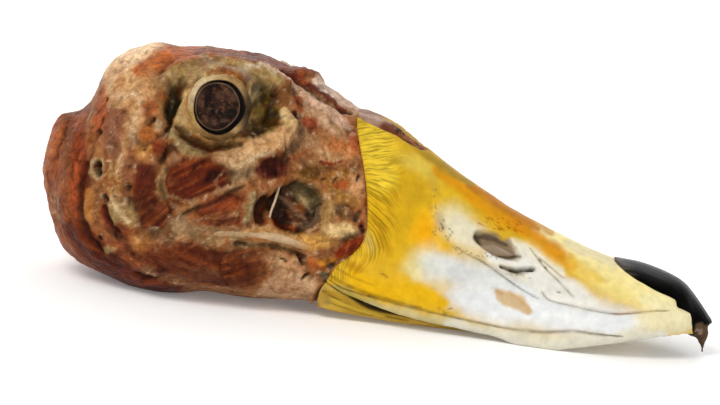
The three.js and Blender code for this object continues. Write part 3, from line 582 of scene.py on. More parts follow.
    ("#a0552f", [(-20.6, 36.6), (-19.4, 35)], 1, 0.7, 0.8),
    ("#4d0f08", (-20.2, 33.6), (0.75, 1), 0, 0.5, 1),
    ("#96402a", (-17, 32.6), (1.4, 1.1), -20, 0.8, 0.8),
    ("#b8743f", (-11.6, 29.4), (3.4, 1.4), -10, 0.8, 0.7),
    ("#a9542c", (-9.4, 30.6), (0.9, 2), 12, 0.8, 0.6),
    ("#6b3226", (-22.6, 24.4), (3, 2), 14, 0.6, 1),
    ("#4c1c1c", (-22, 23.6), (1.6, 1), 10, 0.7, 0.7),
    ("#9a3a22", [(-14.6, 26), (-12.4, 26.4), (-10.6, 27.2)], 0.28, 0.7, 0.9),
    ("#a8482e", [(-19.4, 26.4), (-18, 27.2), (-16.6, 28)], 0.3, 0.8, 0.7),
    ("#6c4e22", (-16.2, 24.4), (2.6, 1.2), 22, 0.7, 0.9),
    ("#7e5432", (-17, 27), (2.2, 1.3), 10, 0.8, 0.8),
    ("#8f6632", (-11, 24), (2.8, 1.7), 10, 0.5, 0.9),
    ("#a14a1c", (-10.6, 23), (1.2, 0.8), 20, 0.7, 0.8),
    ("#c79c76", (-8, 23.2), (1.3, 2.2), 0, 0.7, 0.8),
    ("#94703c", (-10.2, 21), (3.4, 1.1), -10, 0.6, 0.9),
    ("#4b3523", (-17.3, 18), (4.4, 4.6), -14, 0.3, 1),
    ("#857a5a", (-15.6, 20.6), (2.8, 1.7), -30, 0.7, 0.9),
    ("#46281a", (-19.2, 17.4), (1.6, 3.2), 22, 0.6, 0.9),
    ("#8f7a6a", [(-20.4, 20.2), (-18, 18.2), (-15.2, 15.6)], 0.35, 0.9, 0.8),
    ("#a58c76", [(-17.8, 15), (-16, 14.9), (-14.2, 16.2)], 0.45, 0.9, 0.8),
    ("#5c4433", [(-19.6, 17.6), (-17.6, 16.9), (-15.4, 17.4)], 0.2, 0.9, 0.8),
    ("#9a8a70", [(-17, 20.6), (-15.4, 18.6), (-14.2, 17.6)], 0.25, 0.9, 0.7),
    ("#84381e", [(-21, 15), (-19, 14.2), (-16.8, 14.2)], 0.7, 0.7, 0.9),
    ("#c4a484", [(-13, 18.8), (-13.4, 16.6), (-15.2, 14.4)], 0.55, 0.6, 0.9),
    ("#46200f", (-22.9, 17.2), (1.2, 3), -10, 0.4, 1),
    ("#8a4c2a", (-23, 14.6), (1.2, 0.8), 10, 0.7, 0.8),
    ("#8b7f62", (-25.6, 17.2), (0.9, 3.2), -8, 0.4, 1),
    ("#4a4634", (-24.6, 17.6), (0.35, 2.4), -8, 0.8, 0.8),
    ("#80603e", (-9.2, 18.6), (2.1, 1.5), -12, 0.4, 0.9),
    ("#9c8053", [(-12.4, 20.4), (-11.9, 17.6), (-12.8, 15)], 0.9, 0.6, 0.9),
    ("#cdb98c", (-9.8, 15.2), (3, 1.3), 10, 0.6, 0.9),
    ("#c79e5c", (-13.6, 12.9), (3.2, 1.3), 4, 0.6, 0.9),
    ("#ab8c60", [(-25.6, 13), (-20, 12.9), (-15.6, 12.2)], 0.9, 0.5, 0.8),
    ("#7c2f11", (-7.6, 12.5), (3.1, 1.1), 44, 0.5, 1),
    ("#4e1a0c", (-7.8, 12.2), (1.6, 0.5), 40, 0.6, 0.8),
    ("#a25220", (-13, 8.9), (1.5, 1), -20, 0.6, 0.9),
    ("#c08a35", (-11.4, 9.8), (1.8, 0.7), 12, 0.7, 0.8),
    ("#5f5a50", (-11.4, 7), (1.5, 0.9), -28, 0.5, 0.9),
    ("#6b2f1a", (-6.2, 16.2), (0.5, 1.6), 10, 0.7, 0.9),
    ("#8a4626", [(-9.4, 33.6), (-8.3, 30), (-7.1, 26.4), (-6.1, 22.6), (-5.6, 19)], 0.28, 0.7, 0.8),
    ("#6a3018", (-18.6, 41.9), (2.6, 1.3), -14, 0.5, 0.9),
    ("#2c1610", [(-19.4, 42.2), (-17.6, 41.8)], 0.3, 0.7, 0.8),
    ("#c9b8a8", (-15.6, 40.8), (0.8, 0.6), -20, 0.6, 0.7),
    ("#a87c5a", (-12.4, 2.2), (1, 1.8), 10, 0.5, 0.9),
    ("#a8977a", (-52.2, 20), (1.25, 1.9), 10, 0.3, 1),
    ("#16130e", (-52.1, 20.1), (0.75, 1.3), 10, 0.3, 1),
]
nicks = [  # small dark cuts and pits
    ([(-50.2, 15.6), (-49.6, 15)], 0.35), ([(-48.4, 15.8), (-48.3, 15.8)], 0.16),
    ([(-50.5, 8.4), (-50.1, 8)], 0.22), ([(-47.7, 9.4), (-47.5, 8.6)], 0.2),
    ([(-42, 2.6), (-40.6, 2.7)], 0.3), ([(-36.2, 21.4), (-35.2, 22.8)], 0.14),
    ([(-53, 26.6), (-52.6, 26.2)], 0.3), ([(-52.4, 32.4), (-52.3, 31.8)], 0.16),
    ([(-14, 23.5), (-13.2, 23.7)], 0.18), ([(-12.1, 23), (-11.6, 24.1)], 0.14),
    ([(-8, 24), (-7.8, 25)], 0.28), ([(-7.2, 17.2), (-6.8, 18.8)], 0.3),
    ([(-6.2, 16.4), (-6, 16.5)], 0.22), ([(-5.6, 15.8), (-5.5, 15.4)], 0.25),
    ([(-19, 9.1), (-18, 8.8)], 0.13), ([(-16.3, 10.1), (-15.2, 8.5)], 0.14),
    ([(-14.8, 6.4), (-14.1, 7.1)], 0.13), ([(-10.4, 8.8), (-10, 9.2)], 0.35),
    ([(-11.2, 6.2), (-10.6, 5.9)], 0.25), ([(-24.3, 37.5), (-23.9, 37.3)], 0.2),
    ([(-44.5, 24.4), (-44.4, 24.3)], 0.16), ([(-46.6, 17.8), (-46, 17.6)], 0.2),
    ([(-29.5, 20.6), (-29.3, 20.5)], 0.14), ([(-18.3, 22.6), (-18.1, 22.7)], 0.16),
]
# Muscle fibres run in these ovals at these angles; round the nape they turn about a point instead
fibreFields = [
    ((-35.2, 20.3), (6, 4.4), 34), ((-43.6, 18.6), (2.8, 4), 70), ((-41.6, 14), (3.2, 3), 50),
    ((-30.6, 16.6), (4.8, 2.4), 28), ((-33, 6), (11, 3.8), -8), ((-24.8, 6.8), (4.4, 3.8), 24),
    ((-15, 34), (8, 6), -32), ((-36, 43), (18, 3), -4),
]
napeTurn = (-43, 21)


def fleshPaint(points):
    chart = chartOf(points)
    ragged = np.stack([
        0.6 * clouds(points, 2.8, seed) + 0.45 * clouds(points, 0.9, seed + 4) for seed in (11, 21)], axis=-1)
    at = chart + ragged
    colours = coat(points, "#8f6442")
    colours = painted(at, colours, fleshPatches, 0.6)
    fine = chart + ragged * 0.35
    for places, width in nicks:
        colours = paintOver(colours, 0.9 * strokeMask(fine, places, width, 0.6, 0.5), "#1d120c")
    return chart, at, colours


def fibrePlace(chart):
    dx, du = chart[..., 0] - napeTurn[0], chart[..., 1] - napeTurn[1]
    along, across = np.arctan2(du, dx) * 16, np.hypot(dx, du)
    for place, radii, angle in fibreFields:
        inside = spotMask(chart, place, radii, 0, 0.01) > 0.5
        c, s = math.cos(math.radians(angle)), math.sin(math.radians(angle))
        along = np.where(inside, chart[..., 0] * c + chart[..., 1] * s, along)
        across = np.where(inside, chart[..., 1] * c - chart[..., 0] * s, across)
    return np.stack([along, across, np.zeros_like(along)], axis=-1)


def muscleShare(colours):  # red, dark places are muscle, pale ones fat and bone
    red, green = colours[..., 0], colours[..., 1]
    return smoothStep(1.9, 3.6, red / np.maximum(green, 0.01)) * smoothStep(0.5, 0.3, red)


# Streaks and flecks in muscle, stains and veins in fat and skin
def marbled(points, colours, muscle, streak, band):
    stain, fleck = clouds(points, 2, 201), clouds(points, 0.8, 205)
    pale = (1 - muscle) * smoothStep(0.62, 0.2, colours[..., 0])
    for strength, tissue, low, high, pattern, code in (
            (0.7, pale, 0.12, 0.45, stain, "#85512c"), (0.4, pale, 0.25, 0.6, fleck, "#7c3f22"),
            (0.5, pale, 0.2, 0.55, -fleck, "#cbbda4"), (0.5, muscle, 0.05, 0.5, band, "#7c5a45"),
            (0.5, muscle, 0.1, 0.6, -band, "#4c2013"), (0.4, muscle, 0.1, 0.6, -streak, "#40160b"),
            (0.28, muscle, 0.25, 0.8, streak, "#a8602f"), (0.32, muscle, 0.35, 0.6, fleck, "#94664a"),
            (0.4, muscle, 0.2, 0.5, stain, "#6e4a34")):
        colours = paintOver(colours, strength * tissue * smoothStep(low, high, pattern), code)
    vein = np.abs(clouds(points, 3.4, 211, 4))
    veined = smoothStep(0.05, 0.01, vein) * (0.12 + 0.3 * smoothStep(0, 0.4, stain))
    return paintOver(colours, veined, "#4a2814"), vein


def socketed(grid):  # flesh round an eye stays below its ball and rises gently away from it
    side = np.where(grid[..., 1:2] < 0, 1, -1) * [0, 1, 0] + [1, 0, 1]
    near = grid * side
    arm = near - flankPoint(eye["x"], eye["up"], eye["deep"] - eye["bulge"])
    far = np.hypot(arm[..., 0], arm @ sideUp) + 0.5 * clouds(near, 1.6, 221)
    out = arm @ sideOut
    lid = eye["lid"]
    brim = smoothStep(lid - 0.9, lid + 0.1, far) * socket["brim"]
    bowl = socket["bottom"] + brim + np.clip(far - lid, 0, 9) * socket["slope"]
    share = (1 - smoothStep(lid + 0.3, lid + socket["reach"], far)) * (out > -2) * (near[..., 1] < 0)
    near = near + (share * (bowl - out))[..., None] * sideOut
    return near * side


def makeFlesh():
    rounded = np.geomspace(0.02, 2, flesh["roundedRows"])[:-1]  # close together where the nape curves in
    xs = backOfNape + np.concatenate([rounded, np.linspace(2, flesh["front"], flesh["rows"])])
    rings = fleshRings(xs, flesh["around"])
    grid = trimmed(xs, rings, flesh["along"], endAt=lambda z: hornEdge(z) + flesh["tuck"])
    normals = gridNormals(grid)
    normals[0] = (-1, 0, 0)
    chart, at, colours = fleshPaint(grid)
    muscle = muscleShare(colours)
    fibres = fibrePlace(chart)
    along, across = fibres[..., 0], fibres[..., 1]
    streak = cloud(np.stack([along / flesh["strandLong"], across, grid[..., 1] * 0.1], axis=-1), 0.6, 31)
    band = clouds(np.stack([along / 6, across, grid[..., 1] * 0.4], axis=-1), 2.4, 35)
    colours, vein = marbled(grid, colours, muscle, streak, band)
    underHorn = smoothStep(0.9, 0, hornEdge(grid[..., 2]) - grid[..., 0])  # lies flat where the horn begins
    height = shaped(chart + 0.5 * (at - chart), fleshForms)
    for places, width in nicks:
        height = height - flesh["nick"] * strokeMask(chart, places, width * 1.1, 0.6)
    height = height + flesh["lump"] * clouds(grid, flesh["lumpSize"], 41)
    height = height + flesh["bump"] * clouds(grid, flesh["bumpSize"], 45) + flesh["strand"] * muscle * streak
    height = height - flesh["vein"] * smoothStep(0.07, 0, vein)
    height = np.where(underHorn > 0, height * (1 - underHorn), height)
    belly = smoothStep(0.5, 2.5, grid[..., 2])  # nothing pushes down below the floor
    grid = grid + normals * (height * (0.25 + 0.75 * belly))[..., None]
    grid = socketed(grid)
    grid[..., 2] = np.maximum(grid[..., 2], 0)
    hollowShade = np.zeros_like(height)
    for reach in (3, 7):  # painted shade: the tint darkens where the surface lies below its surroundings, as shade falls in hollows
        steps = ((reach, 0), (-reach, 0), (0, reach), (0, -reach))
        near = sum(np.roll(height, step, (0, 1)) for step in steps) / 4
        hollowShade += np.clip(near - height, 0, 0.5)
    # painted shade in the hollows, together with random tone from the clouds
    light = 1.05 + 0.15 * clouds(grid, 1.5, 51) - 1.1 * np.clip(hollowShade, 0, 0.7)
    colours = deepened(colours * np.clip(light, 0.15, 1.4)[..., None])
    return closedMesh("flesh_skin", grid, {"tint": colours, "fibre": fibres, "muscle": muscle})


# Upper bill: horn round a shallow roof of the mouth, wrinkled where it grows from the face

bill = {"outer": 300, "under": 40, "along": 290, "back": -13.6, "end": 54.3, "cuts": 460, "start": 0.1,
        "lip": 0.4, "lipTuck": 0.25, "notchDepth": 0.75, "underNail": 0.9}
hornRelief = {"swell": 0.22, "swellSize": 7, "pit": 0.05, "pitSize": 1.4, "dimple": 0.14, "dimpleSize": 0.9,
              "fold": 0.16, "foldSize": 0.5, "foldLong": 9}
hornShade = 0.87
ridgeStrip = {"back": -9.6, "tip": 4.3, "half": 3.9, "thick": 0.9, "cover": 1.06, "rows": 110, "columns": 60,
              "lump": 0.12, "lumpSize": 1.6, "rough": 0.16, "roughSize": 0.6}

rimGroove = [(-10.4, 6.4), (-8.2, 5.3), (-5.5, 4.8), (-3, 4.45), (1, 3.9), (6, 3.45), (11, 3),
             (16, 2.6), (22, 2.3), (27, 2.45), (30, 3), (33, 3.5), (37, 3.4), (41, 3.6)]
nostrilGroove = [(10.6, 15.2), (13, 14.1), (15, 13.45), (17, 12.5), (19, 11.4), (20.8, 10.35),
                 (22.6, 9.45), (24.2, 8.8), (25.8, 8.25)]
upperFold = [(23.4, 16.8), (25.2, 14.9), (26.8, 13.4), (28.5, 12.1), (30.4, 10.5), (31.8, 9.3)]
secondFold = [(24.6, 15.7), (26.2, 14.7), (27.6, 13.8), (29.8, 12.3)]
longFold = [(26.4, 9.4), (27.5, 8.4), (29, 8), (32, 7.75), (36, 7.5), (39.5, 7.5), (42, 7.9),
            (45, 8.55), (48.6, 9.15)]
slit = [(18.7, 12.8), (20, 12.55), (21.4, 12.45), (22.6, 12.8), (23.6, 13), (24.5, 13.25)]
billForms = [
    (rimGroove, 0.28, 0.7, -0.4), (nostrilGroove, 0.24, 0.7, -0.4), (upperFold, 0.24, 0.7, -0.35),
    (secondFold, 0.24, 0.7, -0.3), (longFold, 0.26, 0.7, -0.4), (slit, 0.42, 0.5, -1),
    ((24.1, 13.1), (0.8, 0.45), 10, 0.4, -0.8),
    ((17.7, 16.4), (4.5, 1.75), -19, 0.2, -0.9),
    ((15.2, 17.4), (1.5, 0.8), -15, 0.5, -0.6),
    ((18, 16.1), (2.6, 0.5), -20, 0.8, 0.5),
    ([(13.2, 17.6), (14.4, 18.7), (17, 18.2), (20, 16.9), (22.6, 15.2)], 0.5, 0.8, 0.25),
    ((7.6, 18.4), (0.9, 1.7), 20, 0.8, -0.35), ((9.4, 16.6), (1.2, 0.7), -40, 0.8, -0.3),
    ((5.6, 21.6), (0.5, 1.6), 10, 0.8, -0.2),
    ([(20, 10.4), (26, 6.4), (34, 5.6), (42, 6)], 1.6, 0.9, 0.3),
    ([(24, 19), (30, 15.6), (36, 12.6)], 1.2, 0.9, 0.22),
    ((21.3, 7.1), (3.8, 1.4), -28, 0.5, -0.16),
    ([(-3.4, 9.4), (-1.6, 8.8), (-0.2, 8.2)], 0.2, 0.7, -0.25),
]
billPatches = [
    ("#d2a922", (-1, 20), (6, 9), 0, 0.6, 1),
    ("#e3c441", [(-7, 32.4), (-4.6, 29), (-3.4, 25)], 3.2, 0.6, 0.9),
    ("#d9c25f", (2.4, 27.9), (3.2, 1.6), -25, 0.7, 0.8),
    ("#c8aa48", (5.2, 25.6), (0.9, 1.8), 15, 0.8, 0.6),
    ("#c7a126", (2.2, 23.4), (2.6, 2.4), 0, 0.8, 0.8),
    ("#d9b32c", (9.6, 23), (3.6, 3), -30, 0.7, 0.9),
    ("#e6b41c", (6.2, 16.8), (3.2, 4.4), 8, 0.6, 1),
    ("#eba90c", (4.8, 17.2), (2, 2.2), 0, 0.8, 0.7),
    ("#c99b18", [(-4, 18.6), (-2.2, 15.4), (-0.6, 12.4)], 0.9, 0.9, 0.6),
    ("#dfc06a", (-4.4, 14), (0.9, 1.8), 25, 0.7, 0.7),
    ("#dccb94", (9.8, 19.4), (3.4, 3), -28, 0.6, 0.9),
    ("#e2dcc6", (12, 17.6), (4.6, 2.6), -30, 0.6, 0.9),
    ("#d6d8d6", [(8, 11.4), (14, 10.4), (20, 9.6), (26, 8)], 3.1, 0.7, 1),
    ("#e6e8e9", [(13, 6.4), (20, 6), (28, 6.2), (36, 5.6), (43, 6)], 4, 0.7, 1),
    ("#e6e4dc", [(17, 14.6), (22, 14.4), (26, 12), (30, 10), (35, 8.6)], 2.5, 0.5, 1),
    ("#e8e3d2", [(20.5, 16.6), (24.4, 15.6), (29, 12.9)], 1.3, 0.7, 0.9),
    ("#d0d3d4", (8.6, 11.2), (3.2, 1.8), -8, 0.8, 0.7),
    ("#d5d8db", (13, 6.4), (4.4, 1.9), -6, 0.8, 0.6),
    ("#dadbd2", (6.4, 11), (2.2, 3.2), 10, 0.9, 0.9),
    ("#e3d9a4", (3.6, 10.2), (1.6, 2.6), 10, 0.9, 0.7),
    ("#e2b41c", [(-7, 7.8), (-5, 7.2), (-1, 6.5), (5, 6.2), (9.5, 5.4)], 1.9, 0.5, 1),
    ("#e0b432", [(-6.2, 10.4), (-2, 9), (3, 8.2)], 1.2, 0.8, 0.8),
    ("#c08a10", [(-7.6, 9.4), (-5.2, 9.2)], 0.7, 0.8, 0.7),
    ("#f6e7a8", [(25, 19.6), (30, 17.6), (36, 15.6), (40, 13.6), (46, 10.8), (51, 8.8)], 3, 0.5, 1),
    ("#e5d9b4", [(30, 18.4), (35, 16.9), (39, 15.8)], 0.9, 0.8, 0.8),
    ("#efdc92", [(32, 14.4), (37, 12.2), (41, 11)], 1.7, 0.7, 0.8),
    ("#f1e6b8", [(44, 10.6), (48, 10), (51.6, 8.8)], 1.7, 0.8, 0.9),
    ("#efe6c2", [(44, 7), (48, 7.2), (52.6, 7.6)], 2.2, 0.8, 0.9),
    ("#e2d9b8", [(40, 3.6), (46, 5.2), (52, 6.2)], 1.2, 0.8, 0.7),
    ("#dd9c12", [(6, 28), (12, 25.2), (18, 21.8), (22, 19.7)], 1.9, 0.5, 0.95),
    ("#d9940d", [(20, 20.8), (25, 18.4), (29, 15.9), (31.6, 14.2)], 1.25, 0.7, 0.95),
    ("#e9c65c", [(30, 15.8), (33, 13.9), (36.4, 12.6)], 1.2, 0.8, 0.7),
    ("#b9780c", [(11.6, 25.9), (16, 23.7), (21, 21.5), (24.6, 20.1)], 0.75, 0.8, 0.85),
    ("#c6871a", [(17, 24), (22, 22), (27, 20)], 0.8, 0.8, 0.7),
    ("#a58b2c", [(0, 32.2), (4, 30), (8, 28.1), (12, 26.4)], 0.8, 0.8, 0.9),
    ("#c79a1c", [(-1, 33.4), (3, 31.2), (6, 29.6)], 0.6, 0.8, 0.6),
    ("#b3a05a", [(-9.4, 5.6), (-5.6, 4.3), (-1, 3.4)], 0.7, 0.6, 0.9),
    ("#cdc296", [(-3.4, 3), (2, 2.2), (8, 1.6), (14, 1.2)], 1.3, 0.7, 0.9),
    ("#866618", [(-10.8, 7.6), (-8, 6.3), (-4, 5.2), (1, 4.4), (6, 3.9)], 0.3, 0.8, 0.85),
    ("#a07a1a", [(-9.6, 8.8), (-6.6, 7.6), (-2.6, 6.6)], 0.2, 0.8, 0.6),
    ("#dcd8c4", [(11, 2.2), (18, 1.7), (26, 1.5), (34, 2)], 0.8, 0.7, 0.8),
    ("#dddacb", [(11, 1), (20, 0), (28, -0.6), (36, 1.2), (42, 2.8), (48, 4.4)], 1.9, 0.4, 1),
    ("#cdb085", [(18.6, 8.1), (21.4, 7.3), (24.4, 5.9)], 1.25, 0.4, 0.9),
    ("#bd8a4c", [(17.8, 8.9), (19.6, 8.2)], 0.35, 0.9, 0.6),
    ("#c99b62", [(20.6, 8.6), (22.6, 7.4), (24.6, 6.2)], 0.3, 0.9, 0.5),
    ("#8d7b66", (17.7, 16.4), (4.3, 1.6), -19, 0.2, 1),
    ("#a5978a", [(15.4, 15.9), (18.2, 15.7), (20.6, 15.3)], 0.45, 0.8, 0.7),
    # painted shadow inside the nostril under its upper rim
    ("#2c2721", [(13.7, 17.6), (15, 17.9), (17, 17.6), (19.4, 16.9)], 0.38, 0.6, 0.9),
    ("#3a332b", (14.3, 17.1), (0.9, 0.75), 0, 0.6, 0.8),
    ("#3b342c", [(18.2, 14.7), (20, 14.75), (21.4, 15.2), (22, 14.95)], 0.26, 0.6, 0.9),
    # painted shade inside the slit and the pit at its end
    ("#221e1a", slit, 0.34, 0.5, 0.95),
    ("#1b1815", (24.1, 13.1), (0.6, 0.38), 10, 0.4, 1),
    ("#5d564b", [(20.2, 12), (22, 11.9), (23.6, 12.3)], 0.18, 0.8, 0.6),
    ("#8a8376", (7.3, 18.8), (0.7, 1.3), 20, 0.9, 0.5),
    ("#5a554a", nostrilGroove, 0.12, 0.7, 0.8),
    ("#6a645a", upperFold, 0.11, 0.7, 0.75),
    ("#7b7466", secondFold, 0.11, 0.7, 0.7),
    ("#3f352c", (25.5, 14.9), (0.45, 0.22), -38, 0.6, 0.9),
    ("#3f352c", (26.5, 13.7), (0.4, 0.2), -38, 0.6, 0.8),
    ("#4f4c4b", (29.2, 9.7), (0.36, 0.17), -10, 0.6, 0.8),
    ("#665c50", longFold, 0.13, 0.7, 0.75),
    ("#9a6f45", [(38.4, 7.45), (41, 7.65), (44, 8.3)], 0.15, 0.7, 0.6),
    ("#5a5140", rimGroove, 0.17, 0.7, 0.75),
    ("#a99f8c", [(24, 2.4), (28, 2.7), (33, 3.5), (38, 3.4)], 0.4, 0.8, 0.5),
    ("#4c3f22", (-3.2, 4.6), (0.35, 0.2), 0, 0.6, 0.8),
    ("#5b4a2a", [(-1.6, 8.9), (-0.4, 8.3)], 0.14, 0.6, 0.8),
]
# Specks are (colour, lowest corner, highest corner, count, least and most half length, angle, seed)
billSpecks = [
    ("#a65c10", (14, 18.9), (21.6, 21.2), 34, (0.15, 0.5), -32, 3),
    ("#6a6252", (6, 15.4), (9.8, 19.6), 22, (0.1, 0.3), -50, 4),
    ("#8a7c50", (5.2, 19.6), (6.6, 24.6), 14, (0.1, 0.25), -70, 5),
    ("#6c6658", (10, 13.6), (18, 15), 18, (0.08, 0.2), -30, 6),
    ("#5b544a", (9, 3.4), (12.4, 4.6), 10, (0.08, 0.25), 10, 7),
    ("#7d7464", (19.8, 11.4), (24, 12.3), 12, (0.08, 0.25), -10, 8),
]
creaseSlope = smoothThrough([
    (8, -1.5), (11, -1.25), (14, -1.05), (18, -0.8), (22, -0.45), (25, -0.05), (28, 0.2), (36, 0.3)])
creaseReach = smoothThrough([(6, 2.6), (9, 5.5), (13, 6.4), (18, 6.5), (24, 7.4), (30, 9.5), (36, 7)])


def specked(at, colours, specks):
    for code, low, high, count, lengths, angle, seed in specks:
        draw = np.random.default_rng(seed)
        for _ in range(count):
            place = draw.uniform(low, high)
            length = draw.uniform(*lengths)
            turn = angle + draw.uniform(-18, 18)
            mask = spotMask(at, place, (length, draw.uniform(0.09, 0.15)), turn, 0.7)
            colours = paintOver(colours, draw.uniform(0.4, 0.9) * mask, code)
    return colours


def stripHalf(x):  # half the width of the feathered strip on the ridge, less than nothing past its tip
    places = [ridgeStrip["back"], -5, -1, 2.4, ridgeStrip["tip"], ridgeStrip["tip"] + 1]
    return np.interp(x, places, [ridgeStrip["half"], 4.2, 4, 2.9, 0.5, -0.6])


def makeUpperBill():
    xs = np.linspace(bill["back"], bill["end"], bill["cuts"])
    rings = np.array([billOutline(x, bill["outer"], bill["under"]) for x in xs])
    grid = trimmed(xs, rings, bill["along"], startAt=lambda z: hornEdge(z) + bill["start"])
    normals = gridNormals(grid)
    outside = (np.arange(grid.shape[1]) < bill["outer"])[None, :]
    ahead = grid[..., 0] - hornEdge(grid[..., 2])
    chart = chartOf(grid)
    at = chart + 0.12 * drift(grid, 3, 61)
    relief = hornRelief
    height = shaped(at, billForms) + relief["swell"] * clouds(grid, relief["swellSize"], 71)
    height = height + relief["pit"] * clouds(grid, relief["pitSize"], 75)
    tipDimples = smoothStep(36, 48, grid[..., 0]) * smoothStep(9, 6, chart[..., 1])
    height = height + relief["dimple"] * tipDimples * cloud(grid * [1, 1, 0.4], relief["dimpleSize"], 81)
    slope = creaseSlope(chart[..., 1])
    across = chart[..., 1] - slope * ahead + 0.35 * clouds(grid, 2.5, 85)
    strength = smoothStep(1, 0.45, ahead / creaseReach(chart[..., 1])) * smoothStep(5.6, 7.4, chart[..., 1])
    line = np.stack([across, ahead / relief["foldLong"], np.sign(grid[..., 1])], axis=-1)
    height = height + relief["fold"] * strength * cloud(line, relief["foldSize"], 91)
    lip = np.clip(1 - ahead / bill["lip"], 0, 1)
    height = height - (rim["proud"] + bill["lipTuck"]) * (1 - np.sqrt(1 - lip ** 2))
    top = outside & (grid[..., 2] > 20)
    inStrip = smoothStep(0.35, -0.25, np.abs(grid[..., 1]) - stripHalf(grid[..., 0]))
    height = np.where(top, height - bill["notchDepth"] * inStrip, height)
    underNail = smoothStep(49.5, 51, grid[..., 0]) * smoothStep(9, 10.5, chart[..., 1])
    height = height - bill["underNail"] * underNail
    clear = smoothStep(0.2, 1.2, grid[..., 2])  # the rims stay flat where they rest
    grid = raised(grid, normals, height * outside * clear)
    colours = coat(grid, "#d8b033")
    ragged = chart + 0.9 * drift(grid, 2.8, 95, 5)
    broad = [patch for patch in billPatches if wide(patch)]
    thin = [patch for patch in billPatches if not wide(patch)]
    colours = painted(ragged, colours, broad)
    lasting = np.clip(0.72 + 0.6 * clouds(grid, 1.3, 97), 0.25, 1)  # thin lines fade here and there
    colours = colours + (painted(at, colours, thin) - colours) * lasting[..., None]
    colours = specked(at, colours, billSpecks)
    inside = ~outside | (grid[..., 2] < 0.02)
    colours = deepened(np.where(inside[..., None], linear("#8d7a4c"), colours) * hornShade)
    crease = np.stack([across, ahead, strength], axis=-1)
    return closedMesh("upper_bill_horn", grid, {"tint": colours, "crease": crease})


def wide(patch):
    return (patch[2] if isinstance(patch[1], list) else min(patch[2])) > 0.6


# Nail: a black shield over the tip of the bill, which goes on as a thick hook

nail = {"back": 38.6, "shieldEnd": 50.5, "proud": 0.38, "thick": 0.8, "columns": 96, "shieldRows": 80,
        "streak": 0.04, "wornRough": 0.12, "wornSunk": 0.3, "square": 2.3}
nailEdge = smoothThrough([
    (38.6, 16.2), (39.4, 15.4), (40.2, 14.8), (42, 13.8), (44, 13), (46.5, 12), (49, 11.3), (51, 10.6)])
hookOuter = [(50.5, 12.4), (52, 11.6), (53.6, 10.3), (55.2, 8.6), (56.4, 7.2), (57.1, 6.35), (56.85, 5.8),
             (56.9, 5), (57.1, 4.2), (57, 3.2), (56.75, 2.3), (56.6, 1.3), (56.42, 0.5)]
hookInner = [(50.5, 8), (51.4, 5.2), (52, 4.1), (52.9, 3.7), (53.9, 3.2), (54.5, 2.85), (54.75, 2.65),
             (55, 2.3), (55.25, 1.9), (55.5, 1.5), (55.75, 1.1), (55.95, 0.7), (56.1, 0.4)]
hookHalf = [5.9, 5.9, 5.5, 4.8, 4, 3.3, 2.9, 2.6, 2.2, 1.8, 1.35, 0.9, 0.35]


def billTopAt(x, y, grow):
    waist, ridge = billRim(x) + rim["bead"], billRidge(x) + grow
    share = np.clip(1 - (y / (billHalf(x) + grow)) ** 2, 0, 1)
    return waist + (ridge - waist) * share ** (1 / billShoulder(x))


def shieldRing(x, v):
    across = np.linspace(0, billHalf(x), 200)
    top = billTopAt(x, across, nail["proud"])
    chart = top * math.cos(chartLean) - across * math.sin(chartLean) + chartLift
    half = np.interp(nailEdge(x), chart[::-1], across[::-1])
    y = half * v
    top = billTopAt(x, y, rim["proud"] + nail["proud"] * (1 - np.abs(v) ** 6))
    under = billTopAt(x, y * 0.97, 0) - nail["thick"]
    return y, top, under


def makeNail():
    v = -np.cos(np.linspace(0, math.pi, nail["columns"] // 2 + 1))
    back = v[::-1][1:-1]
    outer, inner = routeThrough(hookOuter, 8), routeThrough(hookInner, 8)
    halves = np.interp(np.linspace(0, 1, len(outer)), np.linspace(0, 1, len(hookHalf)), hookHalf)
    rows = []
    for x in np.linspace(nail["back"], nail["shieldEnd"], nail["shieldRows"]):
        y, top, under = shieldRing(x, v)
        ring = np.concatenate([np.column_stack([y, top]), np.column_stack([y, under])[::-1][1:-1]])
        rows.append(np.column_stack([np.full(len(ring), x), ring]))
    last = rows[-1]
    for n in range(1, len(outer)):
        middle, reach = (outer[n] + inner[n]) / 2, (outer[n] - inner[n]) / 2
        rise = np.concatenate([
            (1 - np.abs(v) ** nail["square"]) ** 0.5, -(1 - np.abs(back) ** nail["square"]) ** 0.5])
        y = halves[n] * np.concatenate([v, back])
        ring = np.column_stack([middle[0] + reach[0] * rise, y, middle[1] + reach[1] * rise])
        blend = smoothStep(0, 0.2, n / (len(outer) - 1))
        moved = last + [outer[n][0] - outer[0][0], 0, outer[n][1] - outer[0][1]]
        rows.append(moved + (ring - moved) * blend)
    grid = np.array(rows)
    normals = gridNormals(grid)
    along = np.linspace(0, 1, len(grid))[:, None] + 0 * grid[..., 0]
    streaks = cloud(np.stack([grid[..., 1] * 2.2, along * 3, 0 * along], axis=-1), 1, 101)
    tip = smoothStep(7.9, 7.2, chartOf(grid)[..., 1] + 0.35 * cloud(grid, 0.9, 103))
    tip = tip * smoothStep(53.6, 54.6, grid[..., 0])  # the worn, brown end of the hook
    rough = clouds(grid * [1.6, 1, 0.6], 1.1, 105)
    height = nail["streak"] * streaks + nail["wornRough"] * tip * rough - nail["wornSunk"] * tip
    grid = raised(grid, normals, height, 0.05)
    colours = coat(grid, "#050504")
    fade = smoothStep(42.4, 39.2, grid[..., 0] + 1.5 * streaks)
    colours = paintOver(colours, 0.5 * fade, "#6e655c")
    colours = paintOver(colours, 0.9 * tip, "#54412f")
    paler = tip * smoothStep(0, 0.6, cloud(grid * [1, 1, 0.5], 0.8, 107))
    colours = paintOver(colours, 0.7 * paler, "#8a7460")
    return closedMesh("bill_nail_horn", grid, {"tint": colours, "worn": tip})


# Lower bill: a shallow trough of horn between the rims of the upper one

